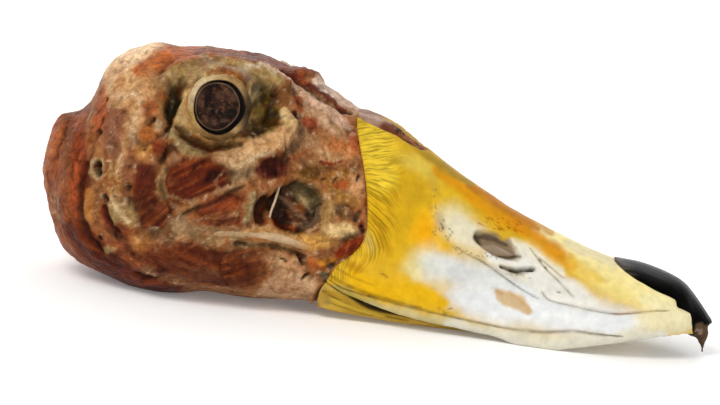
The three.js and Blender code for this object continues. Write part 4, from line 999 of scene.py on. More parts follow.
lowerBill = {"back": -13.6, "front": 47.6, "cuts": 300, "inset": 1.9, "flare": 0.07, "flareFrom": 10,
             "clear": 0.3, "shownTo": 8, "edge": 0.6, "columns": 240, "rows": 150, "swell": 0.1,
             "swellSize": 2.2}
lowerFloor = smoothThrough([
    (-13, 1.9), (-9, 1.3), (-4, 0.95), (2, 0.5), (8, 0.35), (16, 0.35), (24, 0.5), (32, 0.9), (40, 2.4),
    (47.5, 4.4)])
lowerPatches = [
    ("#c2ab86", [(-12.6, 6.4), (-12, 3.6), (-11.7, 1.4)], 0.7, 0.6, 0.9),
    ("#8f7f5e", [(-10.8, 5), (-10, 2.4)], 0.5, 0.8, 0.7),
    ("#a3832e", [(-11, 4.2), (-8, 3.4), (-4, 2.2), (4, 1.8)], 0.9, 0.6, 0.9),
    ("#8b7a3c", [(-9.8, 5.6), (-7, 4.4), (-4, 3.4)], 0.35, 0.7, 0.8),
    # painted shadow in the gap under the upper bill's rim
    ("#15110c", [(-6.4, 4.3), (-3.6, 3.1), (-1, 2.6), (3.5, 2.3)], 0.5, 0.6, 0.95),
    ("#6f6d66", [(-12.3, 7.4), (-10.4, 6.4), (-8.4, 5.1)], 0.5, 0.6, 0.9),
    ("#a98a3c", (-11.6, 3), (0.9, 1.2), 0, 0.7, 0.8),
    ("#7d5c2c", [(-12.4, 2.4), (-11.6, 1.8)], 0.4, 0.8, 0.7),
    ("#57451c", [(-11.4, 4.6), (-8, 3.2), (-3, 1.9), (4, 1.3)], 0.13, 0.7, 0.8),
    ("#6b561e", [(-11, 2.8), (-7, 2), (-2, 1.3)], 0.1, 0.7, 0.7),
    ("#cdb048", [(-9.6, 3.3), (-5, 2.1), (0, 1.5)], 0.3, 0.8, 0.7),
]


def lowerOutline(x):
    widened = billHalf(x) - lowerBill["inset"] + max(0, lowerBill["flareFrom"] - x) * lowerBill["flare"]
    half = min(widened, billHalf(x) - lowerBill["clear"])
    edge, thick = billRim(x), lowerBill["edge"]
    if x < lowerBill["shownTo"]:
        top = min(edge + rim["palate"] - 0.3, edge - lowerBill["clear"])
    else:
        top = edge + rim["palate"] * 0.7
    floor = min(lowerFloor(x), top - 2 * thick)
    turn = np.linspace(0, math.pi / 2, 12)
    brim = np.column_stack([half - thick + thick * np.cos(turn), top - thick + thick * np.sin(turn)])
    wall = [[half - 0.35, top * 0.45 + floor * 0.55], [half - 1.2, floor + 0.35], [half - 2.2, floor]]
    middle = [[half * 0.55, floor + 0.05], [half * 0.45, floor + thick], [0, floor + thick * 1.1]]
    left = np.concatenate([[[0, top]], brim[::-1], wall, middle])
    right = left[::-1][:-1] * [-1, 1]
    return np.concatenate([right, left[:-1]])  # from the middle beneath, up the right side and over


def makeLowerBill():
    xs = np.linspace(lowerBill["back"], lowerBill["front"], lowerBill["cuts"])
    rings = np.array([resampled(np.concatenate([ring, ring[:1]]), lowerBill["columns"] + 1)[:-1]
                      for ring in map(lowerOutline, xs)])
    grid = trimmed(xs, rings, lowerBill["rows"], startAt=lambda z: hornEdge(z) + 0.15)
    normals = gridNormals(grid)
    swell = lowerBill["swell"] * clouds(grid, lowerBill["swellSize"], 111)
    grid = raised(grid, normals, swell * smoothStep(0.1, 1, grid[..., 2]), 0.02)
    chart = chartOf(grid)
    colours = coat(grid, "#b99a44")
    grain = clouds(grid * [0.25, 1, 1], 0.9, 113)
    colours = colours * (1 + 0.35 * grain[..., None])
    beneath = smoothStep(14, 24, grid[..., 0])
    colours = paintOver(colours, 0.8 * beneath, "#cdbf96")
    sides = np.abs(grid[..., 1]) > billHalf(grid[..., 0]) - 4
    colours = np.where(sides[..., None], painted(chart, colours, lowerPatches), colours)
    return closedMesh("lower_bill_horn", grid, {"tint": deepened(colours), "crease": np.zeros_like(grid)})


# Ridge skin: a tongue of dark feathered skin let into the ridge of the bill

ridgePatches = [
    ("#9b7f72", (-7.6, 35), (3.6, 1.6), -8, 0.6, 1),
    ("#b9a094", [(-9.6, 35.8), (-6, 35.4), (-3.6, 34.9)], 0.35, 0.8, 0.7),
    ("#64341f", [(-4.6, 34), (-3, 33.6), (-1.4, 33.2)], 1.1, 0.7, 0.95),
    ("#8a5428", [(-1.2, 33.2), (0.8, 32), (2.6, 31)], 1.1, 0.6, 0.95),
    ("#4a2414", [(-1.4, 32.4), (0.2, 31.6), (2.2, 30.5)], 0.35, 0.7, 0.8),
    ("#120c08", [(-2.4, 34.3), (-2, 33.1)], 0.1, 0.5, 0.9),
    ("#120c08", [(-1.8, 34.1), (-1.3, 32.8)], 0.1, 0.5, 0.9),
    ("#120c08", [(-1.2, 33.8), (-0.8, 32.9)], 0.09, 0.5, 0.9),
    ("#120c08", [(-0.4, 33), (0.4, 32)], 0.09, 0.5, 0.9),
    ("#120c08", [(1.2, 32.1), (2, 31.5)], 0.09, 0.5, 0.9),
    ("#3a2218", [(2, 31), (3, 30.5), (4.4, 29.9)], 0.35, 0.7, 0.9),
    ("#caa13a", [(-0.6, 34.3), (1.4, 33.2), (3.6, 32)], 0.4, 0.8, 0.5),
    ("#b09018", (-3.6, 35.4), (1.4, 0.3), -8, 0.8, 0.6),
]
stubs = {"perSquareMm": 1.8, "long": 0.55, "wide": 0.13, "tip": 0.03, "leanForwards": 88, "vary": 0.4,
         "seed": 7, "sides": 6}


def makeRidgeSkin():
    xs = np.linspace(ridgeStrip["back"], ridgeStrip["tip"], ridgeStrip["rows"])
    v = np.linspace(-1, 1, ridgeStrip["columns"])
    rows = []
    for x in xs:
        y = max(stripHalf(x), 0.3) * ridgeStrip["cover"] * v
        sunk = smoothStep(-4.5, -1, x) + 1.6 * smoothStep(-7.4, -9.4, x)
        top = billTopAt(x, y, rim["proud"] - 0.12 - 0.28 * sunk - 0.35 * smoothStep(0.7, 1.05, np.abs(v)))
        under = top - ridgeStrip["thick"]
        ring = np.concatenate([np.column_stack([y, top]), np.column_stack([y, under])[::-1]])
        rows.append(np.column_stack([np.full(len(ring), x), ring]))
    grid = np.array(rows)
    normals = gridNormals(grid)
    onTop = (np.arange(grid.shape[1]) < len(v))[None, :]
    chart = chartOf(grid)
    rough = smoothStep(-4, -1.5, grid[..., 0]) * cloud(grid, ridgeStrip["roughSize"], 125)
    height = ridgeStrip["lump"] * clouds(grid, ridgeStrip["lumpSize"], 121) + ridgeStrip["rough"] * rough
    grid = raised(grid, normals, height * onTop)
    at = chart + 0.25 * np.stack([cloud(grid, 1.2, seed) for seed in (127, 129)], axis=-1)
    colours = painted(at, coat(grid, "#85503c"), ridgePatches)
    colours = colours * (1 + 0.3 * clouds(grid, 0.9, 131))[..., None]
    beside, half = np.abs(grid[..., 1]), stripHalf(grid[..., 0])
    crest = smoothStep(0.5, 0.25, beside / half) * smoothStep(-5.5, -3.5, grid[..., 0])
    colours = paintOver(colours, 0.85 * crest, "#b8951f")
    plan = grid[..., :2]
    tuft = spotMask(plan, (-1.9, 0), (1.5, 3.2), 0, 0.2) + spotMask(plan, (1.8, 0), (1.8, 2), 0, 0.2)
    low = smoothStep(0.45, 0.6, beside / np.maximum(half, 0.1))  # no quills along the crest
    values = {"tint": deepened(colours), "stub": tuft * onTop * low}
    return closedMesh("ridge_skin_strip", grid, values)


def makeStubs(skin, black):  # short quills of plucked feathers that lean towards the tip of the bill
    tree = bpy.data.node_groups.new("feather_stubs", "GeometryNodeTree")
    kinds = {"Geometry": "Geometry", "Count per square metre": "Float", "Length": "Float", "Width": "Float",
             "Lean": "Float", "Vary": "Float", "Seed": "Int"}
    sockets = {name: tree.interface.new_socket(name, in_out="INPUT", socket_type="NodeSocket" + kind)
               for name, kind in kinds.items()}
    tree.interface.new_socket("Geometry", in_out="OUTPUT", socket_type="NodeSocketGeometry")
    given = addNode(tree, "NodeGroupInput").outputs
    share = addNode(tree, "GeometryNodeInputNamedAttribute", {"Name": "stub"}, data_type="FLOAT").outputs[0]
    density = addNode(tree, "ShaderNodeMath", {
        0: given["Count per square metre"], 1: share}, operation="MULTIPLY")
    spread = addNode(tree, "GeometryNodeDistributePointsOnFaces", {
        "Mesh": given["Geometry"], "Density": density.outputs[0], "Seed": given["Seed"]},
        distribute_method="RANDOM")
    quill = addNode(tree, "GeometryNodeMeshCone", {
        "Vertices": stubs["sides"], "Radius Top": stubs["tip"] * mm, "Radius Bottom": given["Width"],
        "Depth": given["Length"]})
    tilt = addNode(tree, "FunctionNodeRandomValue", {
        "Min": (-0.5, -0.35, 0), "Max": (0.5, 0.35, 0), "Seed": given["Seed"]}, data_type="FLOAT_VECTOR")
    lean = addNode(tree, "ShaderNodeCombineXYZ", {"Y": given["Lean"]})
    turned = addNode(tree, "ShaderNodeVectorMath", {0: tilt.outputs[0], 1: lean.outputs[0]}, operation="ADD")
    least = addNode(tree, "ShaderNodeMath", {0: 1, 1: given["Vary"]}, operation="SUBTRACT")
    most = addNode(tree, "ShaderNodeMath", {0: 1, 1: given["Vary"]}, operation="ADD")
    size = addNode(tree, "FunctionNodeRandomValue", data_type="FLOAT")
    tree.links.new(least.outputs[0], size.inputs[2])
    tree.links.new(most.outputs[0], size.inputs[3])
    tree.links.new(given["Seed"], size.inputs["Seed"])
    placed = addNode(tree, "GeometryNodeInstanceOnPoints", {
        "Points": spread.outputs["Points"], "Instance": quill.outputs["Mesh"], "Rotation": turned.outputs[0],
        "Scale": size.outputs[1]})
    real = addNode(tree, "GeometryNodeRealizeInstances", {"Geometry": placed.outputs[0]})
    finish = addNode(tree, "GeometryNodeSetMaterial", {"Geometry": real.outputs[0], "Material": black})
    addNode(tree, "NodeGroupOutput", {"Geometry": finish.outputs[0]})
    maker = bpy.data.objects.new("feather_stub_maker", skin.data.copy())
    bpy.context.collection.objects.link(maker)
    modifier = maker.modifiers.new("stubs", "NODES")
    modifier.node_group = tree
    sizes = {"Count per square metre": stubs["perSquareMm"] * 1e6, "Length": stubs["long"] * mm,
             "Width": stubs["wide"] * mm, "Lean": math.radians(stubs["leanForwards"]), "Vary": stubs["vary"],
             "Seed": stubs["seed"]}
    for name, value in sizes.items():
        modifier[sockets[name].identifier] = value
    bpy.context.view_layer.update()
    made = maker.evaluated_get(bpy.context.evaluated_depsgraph_get())
    mesh = bpy.data.meshes.new_from_object(made)
    bpy.data.objects.remove(maker)
    mesh.name = "feather_stubs"
    return finished("feather_stubs", mesh)


# Eyes: a dull white with a dark, dried lens sunk in it, looking out of each flank

# Each profile is (distance from the eye's axis, height along it)
whiteProfile = [
    (0.3, -4.4), (4, -3.8), (5.8, -1.8), (6.6, -0.2), (6.7, 0.5), (6.5, 1.3), (6.1, 2.1), (5.6, 2.75),
    (5.15, 3.05), (4.72, 3.15), (4.56, 3), (4.48, 2.7), (4.4, 2.3), (4.25, 2.1), (2, 2.1), (0.3, 2.1)]
lensProfile = [
    (0.2, 1.4), (3.2, 1.4), (3.9, 1.8), (4.02, 2.6), (4.0, 3.2), (3.9, 3.42), (3.77, 3.38), (3.68, 3.12),
    (3.55, 3.04), (3, 3), (2, 2.92), (1, 2.88), (0.2, 2.88)]
lensShift = (-0.34, 0.08)
whitePatches = [  # (colour, place beside the eye's axis, radii, turn, softness, strength)
    ("#bda788", (-4.6, 2.4), (2, 4.4), -38, 0.6, 0.95),
    ("#b7a27e", (-3, 4.9), (2.8, 0.7), 24, 0.7, 0.8),
    ("#8a6a40", (3.4, 5.2), (2.8, 1.1), -24, 0.7, 0.9),
    # painted shade on the right side of the ring, beside the lens
    ("#33261a", (5.4, 0.4), (1.7, 4.6), 0, 0.6, 0.95),
    ("#6e5430", (0.6, -5.4), (5, 1.5), 0, 0.7, 0.9),
    ("#a08352", (-4.6, -2.8), (1.4, 2), 30, 0.7, 0.7),
    ("#3a2a18", (-2.2, -5.6), (2.6, 0.3), -14, 0.8, 0.7),
]


def eyeMesh(name, profile, centreAt, steps, paint):
    line = resampled(routeThrough(profile, 8), steps)
    turn = -np.linspace(0, 2 * math.pi, eye["around"], endpoint=False)
    x, up = centreAt
    centre = flankPoint(eye["x"], eye["up"], eye["deep"] - eye["bulge"])
    uneven = 1 + 0.016 * np.sin(3 * turn + 0.8) + 0.012 * np.sin(5 * turn + 2)  # no eye is quite round
    radius, out = line[:, :1] + 0 * turn, line[:, 1:] + 0 * turn
    beside = (x + radius * np.cos(turn) * uneven) * eye["oval"][0]
    above = (up + radius * np.sin(turn) * uneven) * eye["oval"][1]
    grid = centre + beside[..., None] * np.array([1, 0, 0]) + above[..., None] * sideUp
    height, colours = paint(grid, np.stack([beside, above], axis=-1), radius, out)
    return bothSides(name, grid + (out + height)[..., None] * sideOut, colours)


def paintWhite(grid, at, radius, out):
    at = at + 0.35 * drift(grid, 1.6, 141)
    colours = painted(at, coat(grid, "#a0845e"), whitePatches)
    colours = deepened(colours * (0.95 + 0.5 * clouds(grid, 1, 149, 4))[..., None])
    # painted shade: the lens seat, seen only in the narrow gap round the lens, goes near black
    gapShade = smoothStep(3.1, 2.9, out) * (radius < 4.5) * (out > 0)
    colours = paintOver(colours, gapShade, "#0d0805")
    height = (0.3 * clouds(grid, 2.4, 151) + 0.22 * clouds(grid, 0.9, 155)) * smoothStep(4.6, 5.1, radius)
    return height, colours


def paintLens(grid, at, radius, out):
    colours = coat(grid, "#28150b")
    mottle = clouds(grid, 1.5, 161)
    for strength, low, high, pattern, code in (
            (0.75, 0, 0.4, mottle, "#4c3324"), (0.9, 0.05, 0.35, -mottle, "#0b0503"),
            (0.4, 0.1, 0.5, clouds(grid, 0.5, 165), "#6e4a32"),
            (0.7, 0.15, 0.5, clouds(grid, 0.45, 169), "#0b0503")):
        colours = paintOver(colours, strength * smoothStep(low, high, pattern), code)
    ringShare = smoothStep(3.7, 3.78, radius) * smoothStep(4.04, 3.96, radius) * (out > 3)
    colours = paintOver(colours, (0.55 + 0.5 * clouds(grid, 1.6, 173)) * ringShare, "#705b46")
    # painted shade: the lens's sides, sunk in the white, go near black
    colours = paintOver(colours, out < 2.84, "#0d0805")
    disc = (radius < 3.7) * (out > 2.8)
    height = disc * (0.1 * clouds(grid, 1.3, 171) + 0.04 * cloud(grid, 0.4, 175))
    return height, colours


# Thin bars: the bony strut along each cheek, and the tendon that crosses the window before the jaw

jugal = {"places": [(-44.5, 9.9), (-39, 10.7), (-33, 11.5), (-26, 12.5), (-20, 12.5), (-14.6, 11.6)],
         "depth": (1.9, 0.1), "thick": (1.1, 0.72), "rows": 180, "columns": 28}
tendon = {"places": [(-20.9, 21.9), (-21.3, 19), (-21.8, 16.6), (-22, 13.9)], "depth": (1.2, 0.6),
          "thick": (0.2, 0.24), "rows": 70, "columns": 16}


def makeBar(name, bar, paint):
    route = routeThrough(bar["places"], 10)
    depths = np.linspace(*bar["depth"], len(route))
    line = np.array([flankPoint(x, up, depth) for (x, up), depth in zip(route, depths)])
    line = resampled(line, bar["rows"])
    along = np.gradient(line, axis=0)
    along /= np.linalg.norm(along, axis=1, keepdims=True)
    out = sideOut - along * (along @ sideOut)[:, None]
    out /= np.linalg.norm(out, axis=1, keepdims=True)
    beside = np.cross(out, along)
    share = np.linspace(0, 1, len(line))
    ends = np.clip(share / 0.03, 0, 1) * np.clip((1 - share) / 0.03, 0, 1)
    radius = np.linspace(*bar["thick"], len(line)) * np.sqrt(ends * (2 - ends) + 0.001)  # round at both ends
    turn = np.linspace(0, 2 * math.pi, bar["columns"], endpoint=False)
    ring = np.cos(turn)[None, :, None] * out[:, None] + np.sin(turn)[None, :, None] * beside[:, None]
    grid = line[:, None] + ring * radius[:, None, None]
    grid = grid + ring * (0.07 * clouds(grid, 1.4, 181))[..., None]
    return bothSides(name, grid, paint(grid))


jugalPatches = [
    ("#b99a76", (-20, 12.6), (4.5, 1), 0, 0.7, 0.9), ("#9d8a78", (-37, 11.2), (2.4, 1.2), 8, 0.6, 0.8),
    ("#8d6038", (-31, 11.2), (1.6, 0.6), 8, 0.8, 0.6), ("#7a4a2c", (-43.6, 9.8), (1.4, 1), 0, 0.7, 0.8),
    ("#b98a58", (-15, 11.7), (1.2, 0.8), 0, 0.7, 0.7), ("#77614b", (-34, 10.6), (2, 0.4), 6, 0.8, 0.6),
]


def paintJugal(grid):
    at = chartOf(grid) + 0.3 * drift(grid, 1.5, 183)
    colours = painted(at, coat(grid, "#977b58"), jugalPatches)
    return colours * (1 + 0.18 * clouds(grid, 0.8, 191))[..., None]


def paintTendon(grid):
    return coat(grid, "#b09878") * (1 + 0.2 * clouds(grid, 0.9, 195))[..., None]


# Finishes

def startMaterial(name):
    material = bpy.data.materials.new(name)
    material.use_nodes = True
    material.node_tree.nodes.clear()
    return material, material.node_tree


def endMaterial(tree, height, depth, settings):
    bump = addNode(tree, "ShaderNodeBump", {"Height": height, "Strength": 1, "Distance": depth * mm})
    shader = addNode(tree, "ShaderNodeBsdfPrincipled", {"Normal": bump.outputs[0], **settings})
    addNode(tree, "ShaderNodeOutputMaterial", {"Surface": shader.outputs[0]})


def moistTissue():  # muscle, fat and membrane: dull mottled colour, fine strands and a soft wet gleam
    material, tree = startMaterial("moist_tissue")
    tint = addNode(tree, "ShaderNodeAttribute", attribute_name="tint").outputs["Color"]
    fibre = addNode(tree, "ShaderNodeAttribute", attribute_name="fibre").outputs["Vector"]
    muscle = addNode(tree, "ShaderNodeAttribute", attribute_name="muscle").outputs["Fac"]
    place = addNode(tree, "ShaderNodeTexCoord").outputs["Object"]
    strandWide, strandLong, grainSize, blotchSize, vesselSize = 0.24, 2.2, 0.28, 1.3, 4.5
    patterns = []
    for vector, scale, detail, roughness, distortion in (
            (fibre, (1 / strandLong, 1 / strandWide, 1), 3, 0.6, 0.6),
            (place, [1 / (grainSize * mm)] * 3, 3, 0.65, 0),
            (place, [1 / (blotchSize * mm)] * 3, 4, 0.6, 0.8),
            (place, [1 / (vesselSize * mm)] * 3, 5, 0.55, 0.4)):
        sized = addNode(tree, "ShaderNodeMapping", {"Vector": vector, "Scale": scale}).outputs[0]
        patterns.append(addNode(tree, "ShaderNodeTexNoise", {
            "Vector": sized, "Scale": 1, "Detail": detail, "Roughness": roughness,
            "Distortion": distortion}).outputs["Fac"])
    strand, grain, blotch, net = patterns
    strandShade = addNode(tree, "ShaderNodeMapRange", {
        "Value": strand, "From Min": 0.3, "From Max": 0.7, "To Min": 0.7, "To Max": 1.28}).outputs[0]
    fibrous = addNode(tree, "ShaderNodeMapRange", {"Value": muscle, "To Min": 0.22}).outputs[0]
    strandMix = addNode(tree, "ShaderNodeMix", {"Factor": fibrous, 2: 1, 3: strandShade}).outputs[0]
    colour = addNode(tree, "ShaderNodeVectorMath", {0: tint, 1: strandMix}, operation="MULTIPLY").outputs[0]
    for value, dark, pale in (
            (grain, (0.9, 0.86, 0.82, 1), (1.07, 1.07, 1.07, 1)),
            (blotch, (0.72, 0.6, 0.48, 1), (1.24, 1.22, 1.18, 1))):
        share = addNode(tree, "ShaderNodeMapRange", {
            "Value": value, "From Min": 0.36, "From Max": 0.64}).outputs[0]
        shade = addNode(tree, "ShaderNodeMix", {
            "Factor": share, "A": dark, "B": pale}, data_type="RGBA").outputs["Result"]
        colour = addNode(tree, "ShaderNodeVectorMath", {0: colour, 1: shade}, operation="MULTIPLY").outputs[0]
    fromMiddle = addNode(tree, "ShaderNodeMath", {0: net, 1: 0.5}, operation="SUBTRACT").outputs[0]
    apart = addNode(tree, "ShaderNodeMath", {0: fromMiddle}, operation="ABSOLUTE").outputs[0]
    clear = addNode(tree, "ShaderNodeMapRange", {"Value": apart, "From Max": 0.01}).outputs[0]
    vessels = addNode(tree, "ShaderNodeMix", {
        "Factor": clear, "A": (0.8, 0.62, 0.52, 1), "B": (1, 1, 1, 1)}, data_type="RGBA").outputs["Result"]
    colour = addNode(tree, "ShaderNodeVectorMath", {0: colour, 1: vessels}, operation="MULTIPLY").outputs[0]
    gloss = addNode(tree, "ShaderNodeMapRange", {
        "Value": blotch, "From Min": 0.35, "From Max": 0.65, "To Min": 0.3, "To Max": 0.55}).outputs[0]
    strandBump = addNode(tree, "ShaderNodeMath", {0: strand, 1: fibrous}, operation="MULTIPLY").outputs[0]
    grainBump = addNode(tree, "ShaderNodeMath", {0: grain, 1: 0.35}, operation="MULTIPLY").outputs[0]
    bumpBoth = addNode(tree, "ShaderNodeMath", {0: strandBump, 1: grainBump}, operation="ADD").outputs[0]
    endMaterial(tree, bumpBoth, 0.26, {"Base Color": colour, "Roughness": gloss, "Specular IOR Level": 0.07})
    return material


def satinHorn():  # keratin of a bill: smooth satin, wrinkled in fine folds where it is young
    material, tree = startMaterial("satin_horn")
    tint = addNode(tree, "ShaderNodeAttribute", attribute_name="tint").outputs["Color"]
    crease = addNode(tree, "ShaderNodeAttribute", attribute_name="crease").outputs["Vector"]
    place = addNode(tree, "ShaderNodeTexCoord").outputs["Object"]
    foldWide, foldLong, grainSize, cloudSize = 0.36, 4.5, 0.35, 1.8
    parts = addNode(tree, "ShaderNodeSeparateXYZ", {0: crease})
    line = addNode(tree, "ShaderNodeCombineXYZ", {"X": parts.outputs[0], "Y": parts.outputs[1]})
    patterns = []
    for vector, scale, detail, roughness, distortion in (
            (line.outputs[0], (1 / foldWide, 1 / foldLong, 1), 2.5, 0.55, 0.35),
            (place, [1 / (grainSize * mm)] * 3, 3, 0.6, 0), (place, [1 / (cloudSize * mm)] * 3, 4, 0.6, 0)):
        sized = addNode(tree, "ShaderNodeMapping", {"Vector": vector, "Scale": scale}).outputs[0]
        patterns.append(addNode(tree, "ShaderNodeTexNoise", {
            "Vector": sized, "Scale": 1, "Detail": detail, "Roughness": roughness,
            "Distortion": distortion}).outputs["Fac"])
    fold, grain, haze = patterns
    # painted shade and highlight: fold troughs darker and crests lighter, in the same pattern as the fold
    # bump
    foldShadeAndHighlight = addNode(tree, "ShaderNodeMapRange", {
        "Value": fold, "From Min": 0.38, "From Max": 0.56, "To Min": 0.6, "To Max": 1.12}).outputs[0]
    foldMix = addNode(tree, "ShaderNodeMix", {"Factor": parts.outputs[2], 2: 1, 3: foldShadeAndHighlight}).outputs[0]
    hazeShade = addNode(tree, "ShaderNodeMapRange", {
        "Value": haze, "From Min": 0.3, "From Max": 0.7, "To Min": 0.88, "To Max": 1.1}).outputs[0]
    both = addNode(tree, "ShaderNodeMath", {0: foldMix, 1: hazeShade}, operation="MULTIPLY").outputs[0]
    colour = addNode(tree, "ShaderNodeVectorMath", {0: tint, 1: both}, operation="MULTIPLY").outputs[0]
    foldBump = addNode(tree, "ShaderNodeMath", {
        0: fold, 1: parts.outputs[2]}, operation="MULTIPLY").outputs[0]
    grainBump = addNode(tree, "ShaderNodeMath", {0: grain, 1: 0.3}, operation="MULTIPLY").outputs[0]
    bumpBoth = addNode(tree, "ShaderNodeMath", {0: foldBump, 1: grainBump}, operation="ADD").outputs[0]
    endMaterial(tree, bumpBoth, 0.3, {"Base Color": colour, "Roughness": 0.46, "Specular IOR Level": 0.05})
    return material


def blackHorn():  # the nail: dense black keratin, polished by wear, with fine streaks along it
    material, tree = startMaterial("polished_black_horn")
    tint = addNode(tree, "ShaderNodeAttribute", attribute_name="tint").outputs["Color"]
    worn = addNode(tree, "ShaderNodeAttribute", attribute_name="worn").outputs["Fac"]
    place = addNode(tree, "ShaderNodeTexCoord").outputs["Object"]
    streakWide, streakLong = 0.3, 4
    stretched = addNode(tree, "ShaderNodeMapping", {
        "Vector": place, "Scale": (1 / (streakLong * mm), 1 / (streakWide * mm), 1 / (streakLong * mm))})
    streak = addNode(tree, "ShaderNodeTexNoise", {
        "Vector": stretched.outputs[0], "Scale": 1, "Detail": 3, "Roughness": 0.6}).outputs["Fac"]
    shade = addNode(tree, "ShaderNodeMapRange", {
        "Value": streak, "From Min": 0.3, "From Max": 0.7, "To Min": 0.7, "To Max": 1.35}).outputs[0]
    colour = addNode(tree, "ShaderNodeVectorMath", {0: tint, 1: shade}, operation="MULTIPLY").outputs[0]
    gloss = addNode(tree, "ShaderNodeMapRange", {"Value": worn, "To Min": 0.3, "To Max": 0.55}).outputs[0]
    endMaterial(tree, streak, 0.05, {"Base Color": colour, "Roughness": gloss, "Specular IOR Level": 0.015})
    return material


def softPart(name, roughness, grainSize, depth, settings):  # tinted parts whose grain alone differs
    material, tree = startMaterial(name)
    tint = addNode(tree, "ShaderNodeAttribute", attribute_name="tint").outputs["Color"]
    place = addNode(tree, "ShaderNodeTexCoord").outputs["Object"]
    small = addNode(tree, "ShaderNodeMapping", {"Vector": place, "Scale": [1 / (grainSize * mm)] * 3})
    grain = addNode(tree, "ShaderNodeTexNoise", {
        "Vector": small.outputs[0], "Scale": 1, "Detail": 4, "Roughness": 0.6}).outputs["Fac"]
    shade = addNode(tree, "ShaderNodeMapRange", {
        "Value": grain, "From Min": 0.3, "From Max": 0.7, "To Min": 0.84, "To Max": 1.16}).outputs[0]
    colour = addNode(tree, "ShaderNodeVectorMath", {0: tint, 1: shade}, operation="MULTIPLY").outputs[0]
    endMaterial(tree, grain, depth, {"Base Color": colour, "Roughness": roughness, **settings})
    return material


def plainQuill():  # black feather shafts: dull horn with a faint grain
    material, tree = startMaterial("black_quill")
    place = addNode(tree, "ShaderNodeTexCoord").outputs["Object"]
    grainSize = 0.2
    small = addNode(tree, "ShaderNodeMapping", {"Vector": place, "Scale": [1 / (grainSize * mm)] * 3})
    grain = addNode(tree, "ShaderNodeTexNoise", {
        "Vector": small.outputs[0], "Scale": 1, "Detail": 2}).outputs["Fac"]
    dark, pale = (*linear("#0e0c0a"), 1), (*linear("#2a231c"), 1)
    colour = addNode(tree, "ShaderNodeMix", {"Factor": grain, "A": dark, "B": pale}, data_type="RGBA")
    endMaterial(tree, grain, 0.03, {"Base Color": colour.outputs["Result"], "Roughness": 0.5})
    return material


# The studio

def studioPoint(at):  # a place in the chart's millimetres, as a point of the frame
    return Vector([(at[0] + shift) * mm, at[1] * mm, at[2] * mm])


def makeFloor():
    radius, bend, wall, sides = studio["floorRadius"], studio["bend"], studio["wall"], studio["sides"]
    turn = np.linspace(0, math.pi / 2, 24)
    curve = np.column_stack([radius + bend * np.sin(turn), bend - bend * np.cos(turn)])
    profile = np.concatenate([[[0.001, 0]], [[radius, 0]], curve[1:], [[radius + bend, wall]]])
    around = np.linspace(0, 2 * math.pi, sides, endpoint=False)
    sunk = 0.00005  # just under the head, so that no two faces lie in one plane
    points = [(r * math.cos(a) * mm, r * math.sin(a) * mm, z * mm - sunk) for r, z in profile for a in around]
    faces = []
    for r in range(len(profile) - 1):
        for c in range(sides):
            a, b = r * sides + c, r * sides + (c + 1) % sides
            faces.append((a, a + sides, b + sides, b))
    mesh = bpy.data.meshes.new("studio_floor")
    mesh.from_pydata(points, [], faces)
    mesh.polygons.foreach_set("use_smooth", np.ones(len(mesh.polygons), bool))
    floor = finished("studio_floor", mesh)
    material, tree = startMaterial("matt_paper")  # seamless background paper: flat, pale and matt
    where = addNode(tree, "ShaderNodeTexCoord").outputs["Object"]
    tooth = addNode(tree, "ShaderNodeTexNoise", {"Vector": where, "Scale": 900, "Detail": 2}).outputs["Fac"]
    white = (*linear(studio["floorColour"]), 1)
    endMaterial(tree, tooth, 0.02, {
        "Base Color": white, "Roughness": 0.9, "Emission Color": white,
        "Emission Strength": studio["floorGlow"]})
    floor.data.materials.append(material)


def makeLights():
    for light in studio["lights"]:
        lamp = bpy.data.lights.new(light["name"], "AREA")
        lamp.shape = "DISK"
        lamp.size = light["size"] * mm
        lamp.energy = light["power"]
        lamp.color = linear(light["colour"])
        holder = bpy.data.objects.new(light["name"], lamp)
        holder.location = studioPoint(light["at"])
        aim = studioPoint(light.get("aim", studio["target"])) - holder.location
        holder.rotation_euler = aim.to_track_quat("-Z", "Y").to_euler()
        bpy.context.collection.objects.link(holder)
    world = bpy.data.worlds.new("studio_sky")
    bpy.context.scene.world = world
    world.use_nodes = True
    sky = world.node_tree.nodes["Background"]
    sky.inputs["Color"].default_value = (*linear(studio["sky"]), 1)
    sky.inputs["Strength"].default_value = studio["skyStrength"]


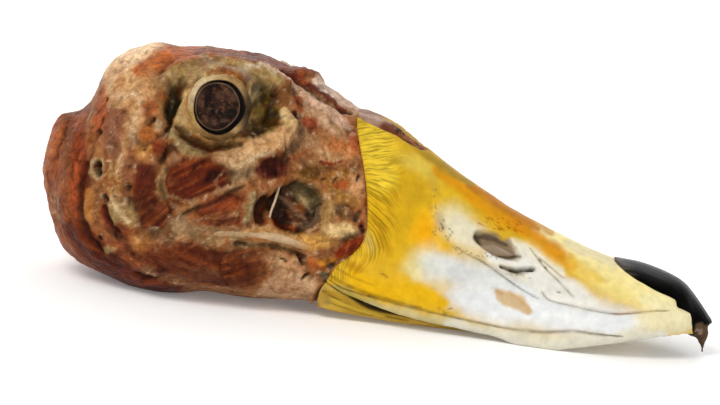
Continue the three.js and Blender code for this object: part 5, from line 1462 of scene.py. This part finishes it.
def makeCamera():
    camera = bpy.data.cameras.new("camera")
    camera.sensor_width = studio["sensor"]
    camera.lens = studio["sensor"] * studio["distance"] / studio["across"]
    camera.clip_end = 10
    holder = bpy.data.objects.new("camera", camera)
    rise = math.radians(studio["elevation"])
    back = Vector((0, -math.cos(rise), math.sin(rise)))
    holder.location = studioPoint(studio["target"]) + back * studio["distance"] * mm
    aim = (-back).to_track_quat("-Z", "Y") @ Quaternion((0, 0, 1), math.radians(studio["roll"]))
    holder.rotation_euler = aim.to_euler()
    bpy.context.collection.objects.link(holder)
    bpy.context.scene.camera = holder
    bpy.context.scene.view_settings.view_transform = "Standard"


makeFloor()
makeLights()
makeCamera()
print("studio ready")

tissue, horn, black = moistTissue(), satinHorn(), blackHorn()
quill = plainQuill()
eyeWhite = softPart("moist_eye_white", 0.45, 0.6, 0.18, {"Specular IOR Level": 0.1})
driedLens = softPart("dried_lens", 0.42, 0.35, 0.16, {"Specular IOR Level": 0.07})
bareBone = softPart("satin_bone", 0.5, 0.5, 0.12, {"Specular IOR Level": 0.2})
wetTendon = softPart("moist_tendon", 0.4, 0.4, 0.04, {"Specular IOR Level": 0.3})
featherSkin = softPart("feathered_skin", 0.55, 0.3, 0.15, {"Specular IOR Level": 0.15})

fleshSkin = makeFlesh()
print("flesh ready")
upper = makeUpperBill()
lower = makeLowerBill()
nailPiece = makeNail()
print("bill ready")
ridge = makeRidgeSkin()
quills = makeStubs(ridge, quill)
whites = eyeMesh("eye_white", whiteProfile, (0, 0), 150, paintWhite)
lenses = eyeMesh("eye_lens", lensProfile, lensShift, 120, paintLens)
jugals = makeBar("cheek_strut", jugal, paintJugal)
tendons = makeBar("window_tendon", tendon, paintTendon)
print("eyes and bars ready")

pieces = [
    (fleshSkin, tissue, "muscle", [
        "cranium", "face", "nape_muscle", "jaw_flesh", "cheek_right", "cheek_left"]),
    (upper, horn, "bill_horn", ["bill_upper"]),
    (lower, horn, "lower_bill_horn", ["bill_lower"]),
    (nailPiece, black, "nail_horn", ["bill_nail"]),
    (ridge, featherSkin, "dark_skin", ["ridge_skin"]),
    (quills, quill, "dark_skin", []),
]
for side, n in (("right", 0), ("left", 1)):
    pieces += [
        (whites[n], eyeWhite, "eye_white", ["eyeball_" + side]),
        (lenses[n], driedLens, "eye_lens", ["lens_" + side]),
        (jugals[n], bareBone, "bone", ["jugal_bar_" + side]),
        (tendons[n], wetTendon, "tendon", ["tendon_" + side]),
    ]
for piece, material, slot, nodes in pieces:
    piece.data.materials.clear()
    piece.data.materials.append(material)
    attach(piece, "root")
    if nodes:
        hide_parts(*nodes)
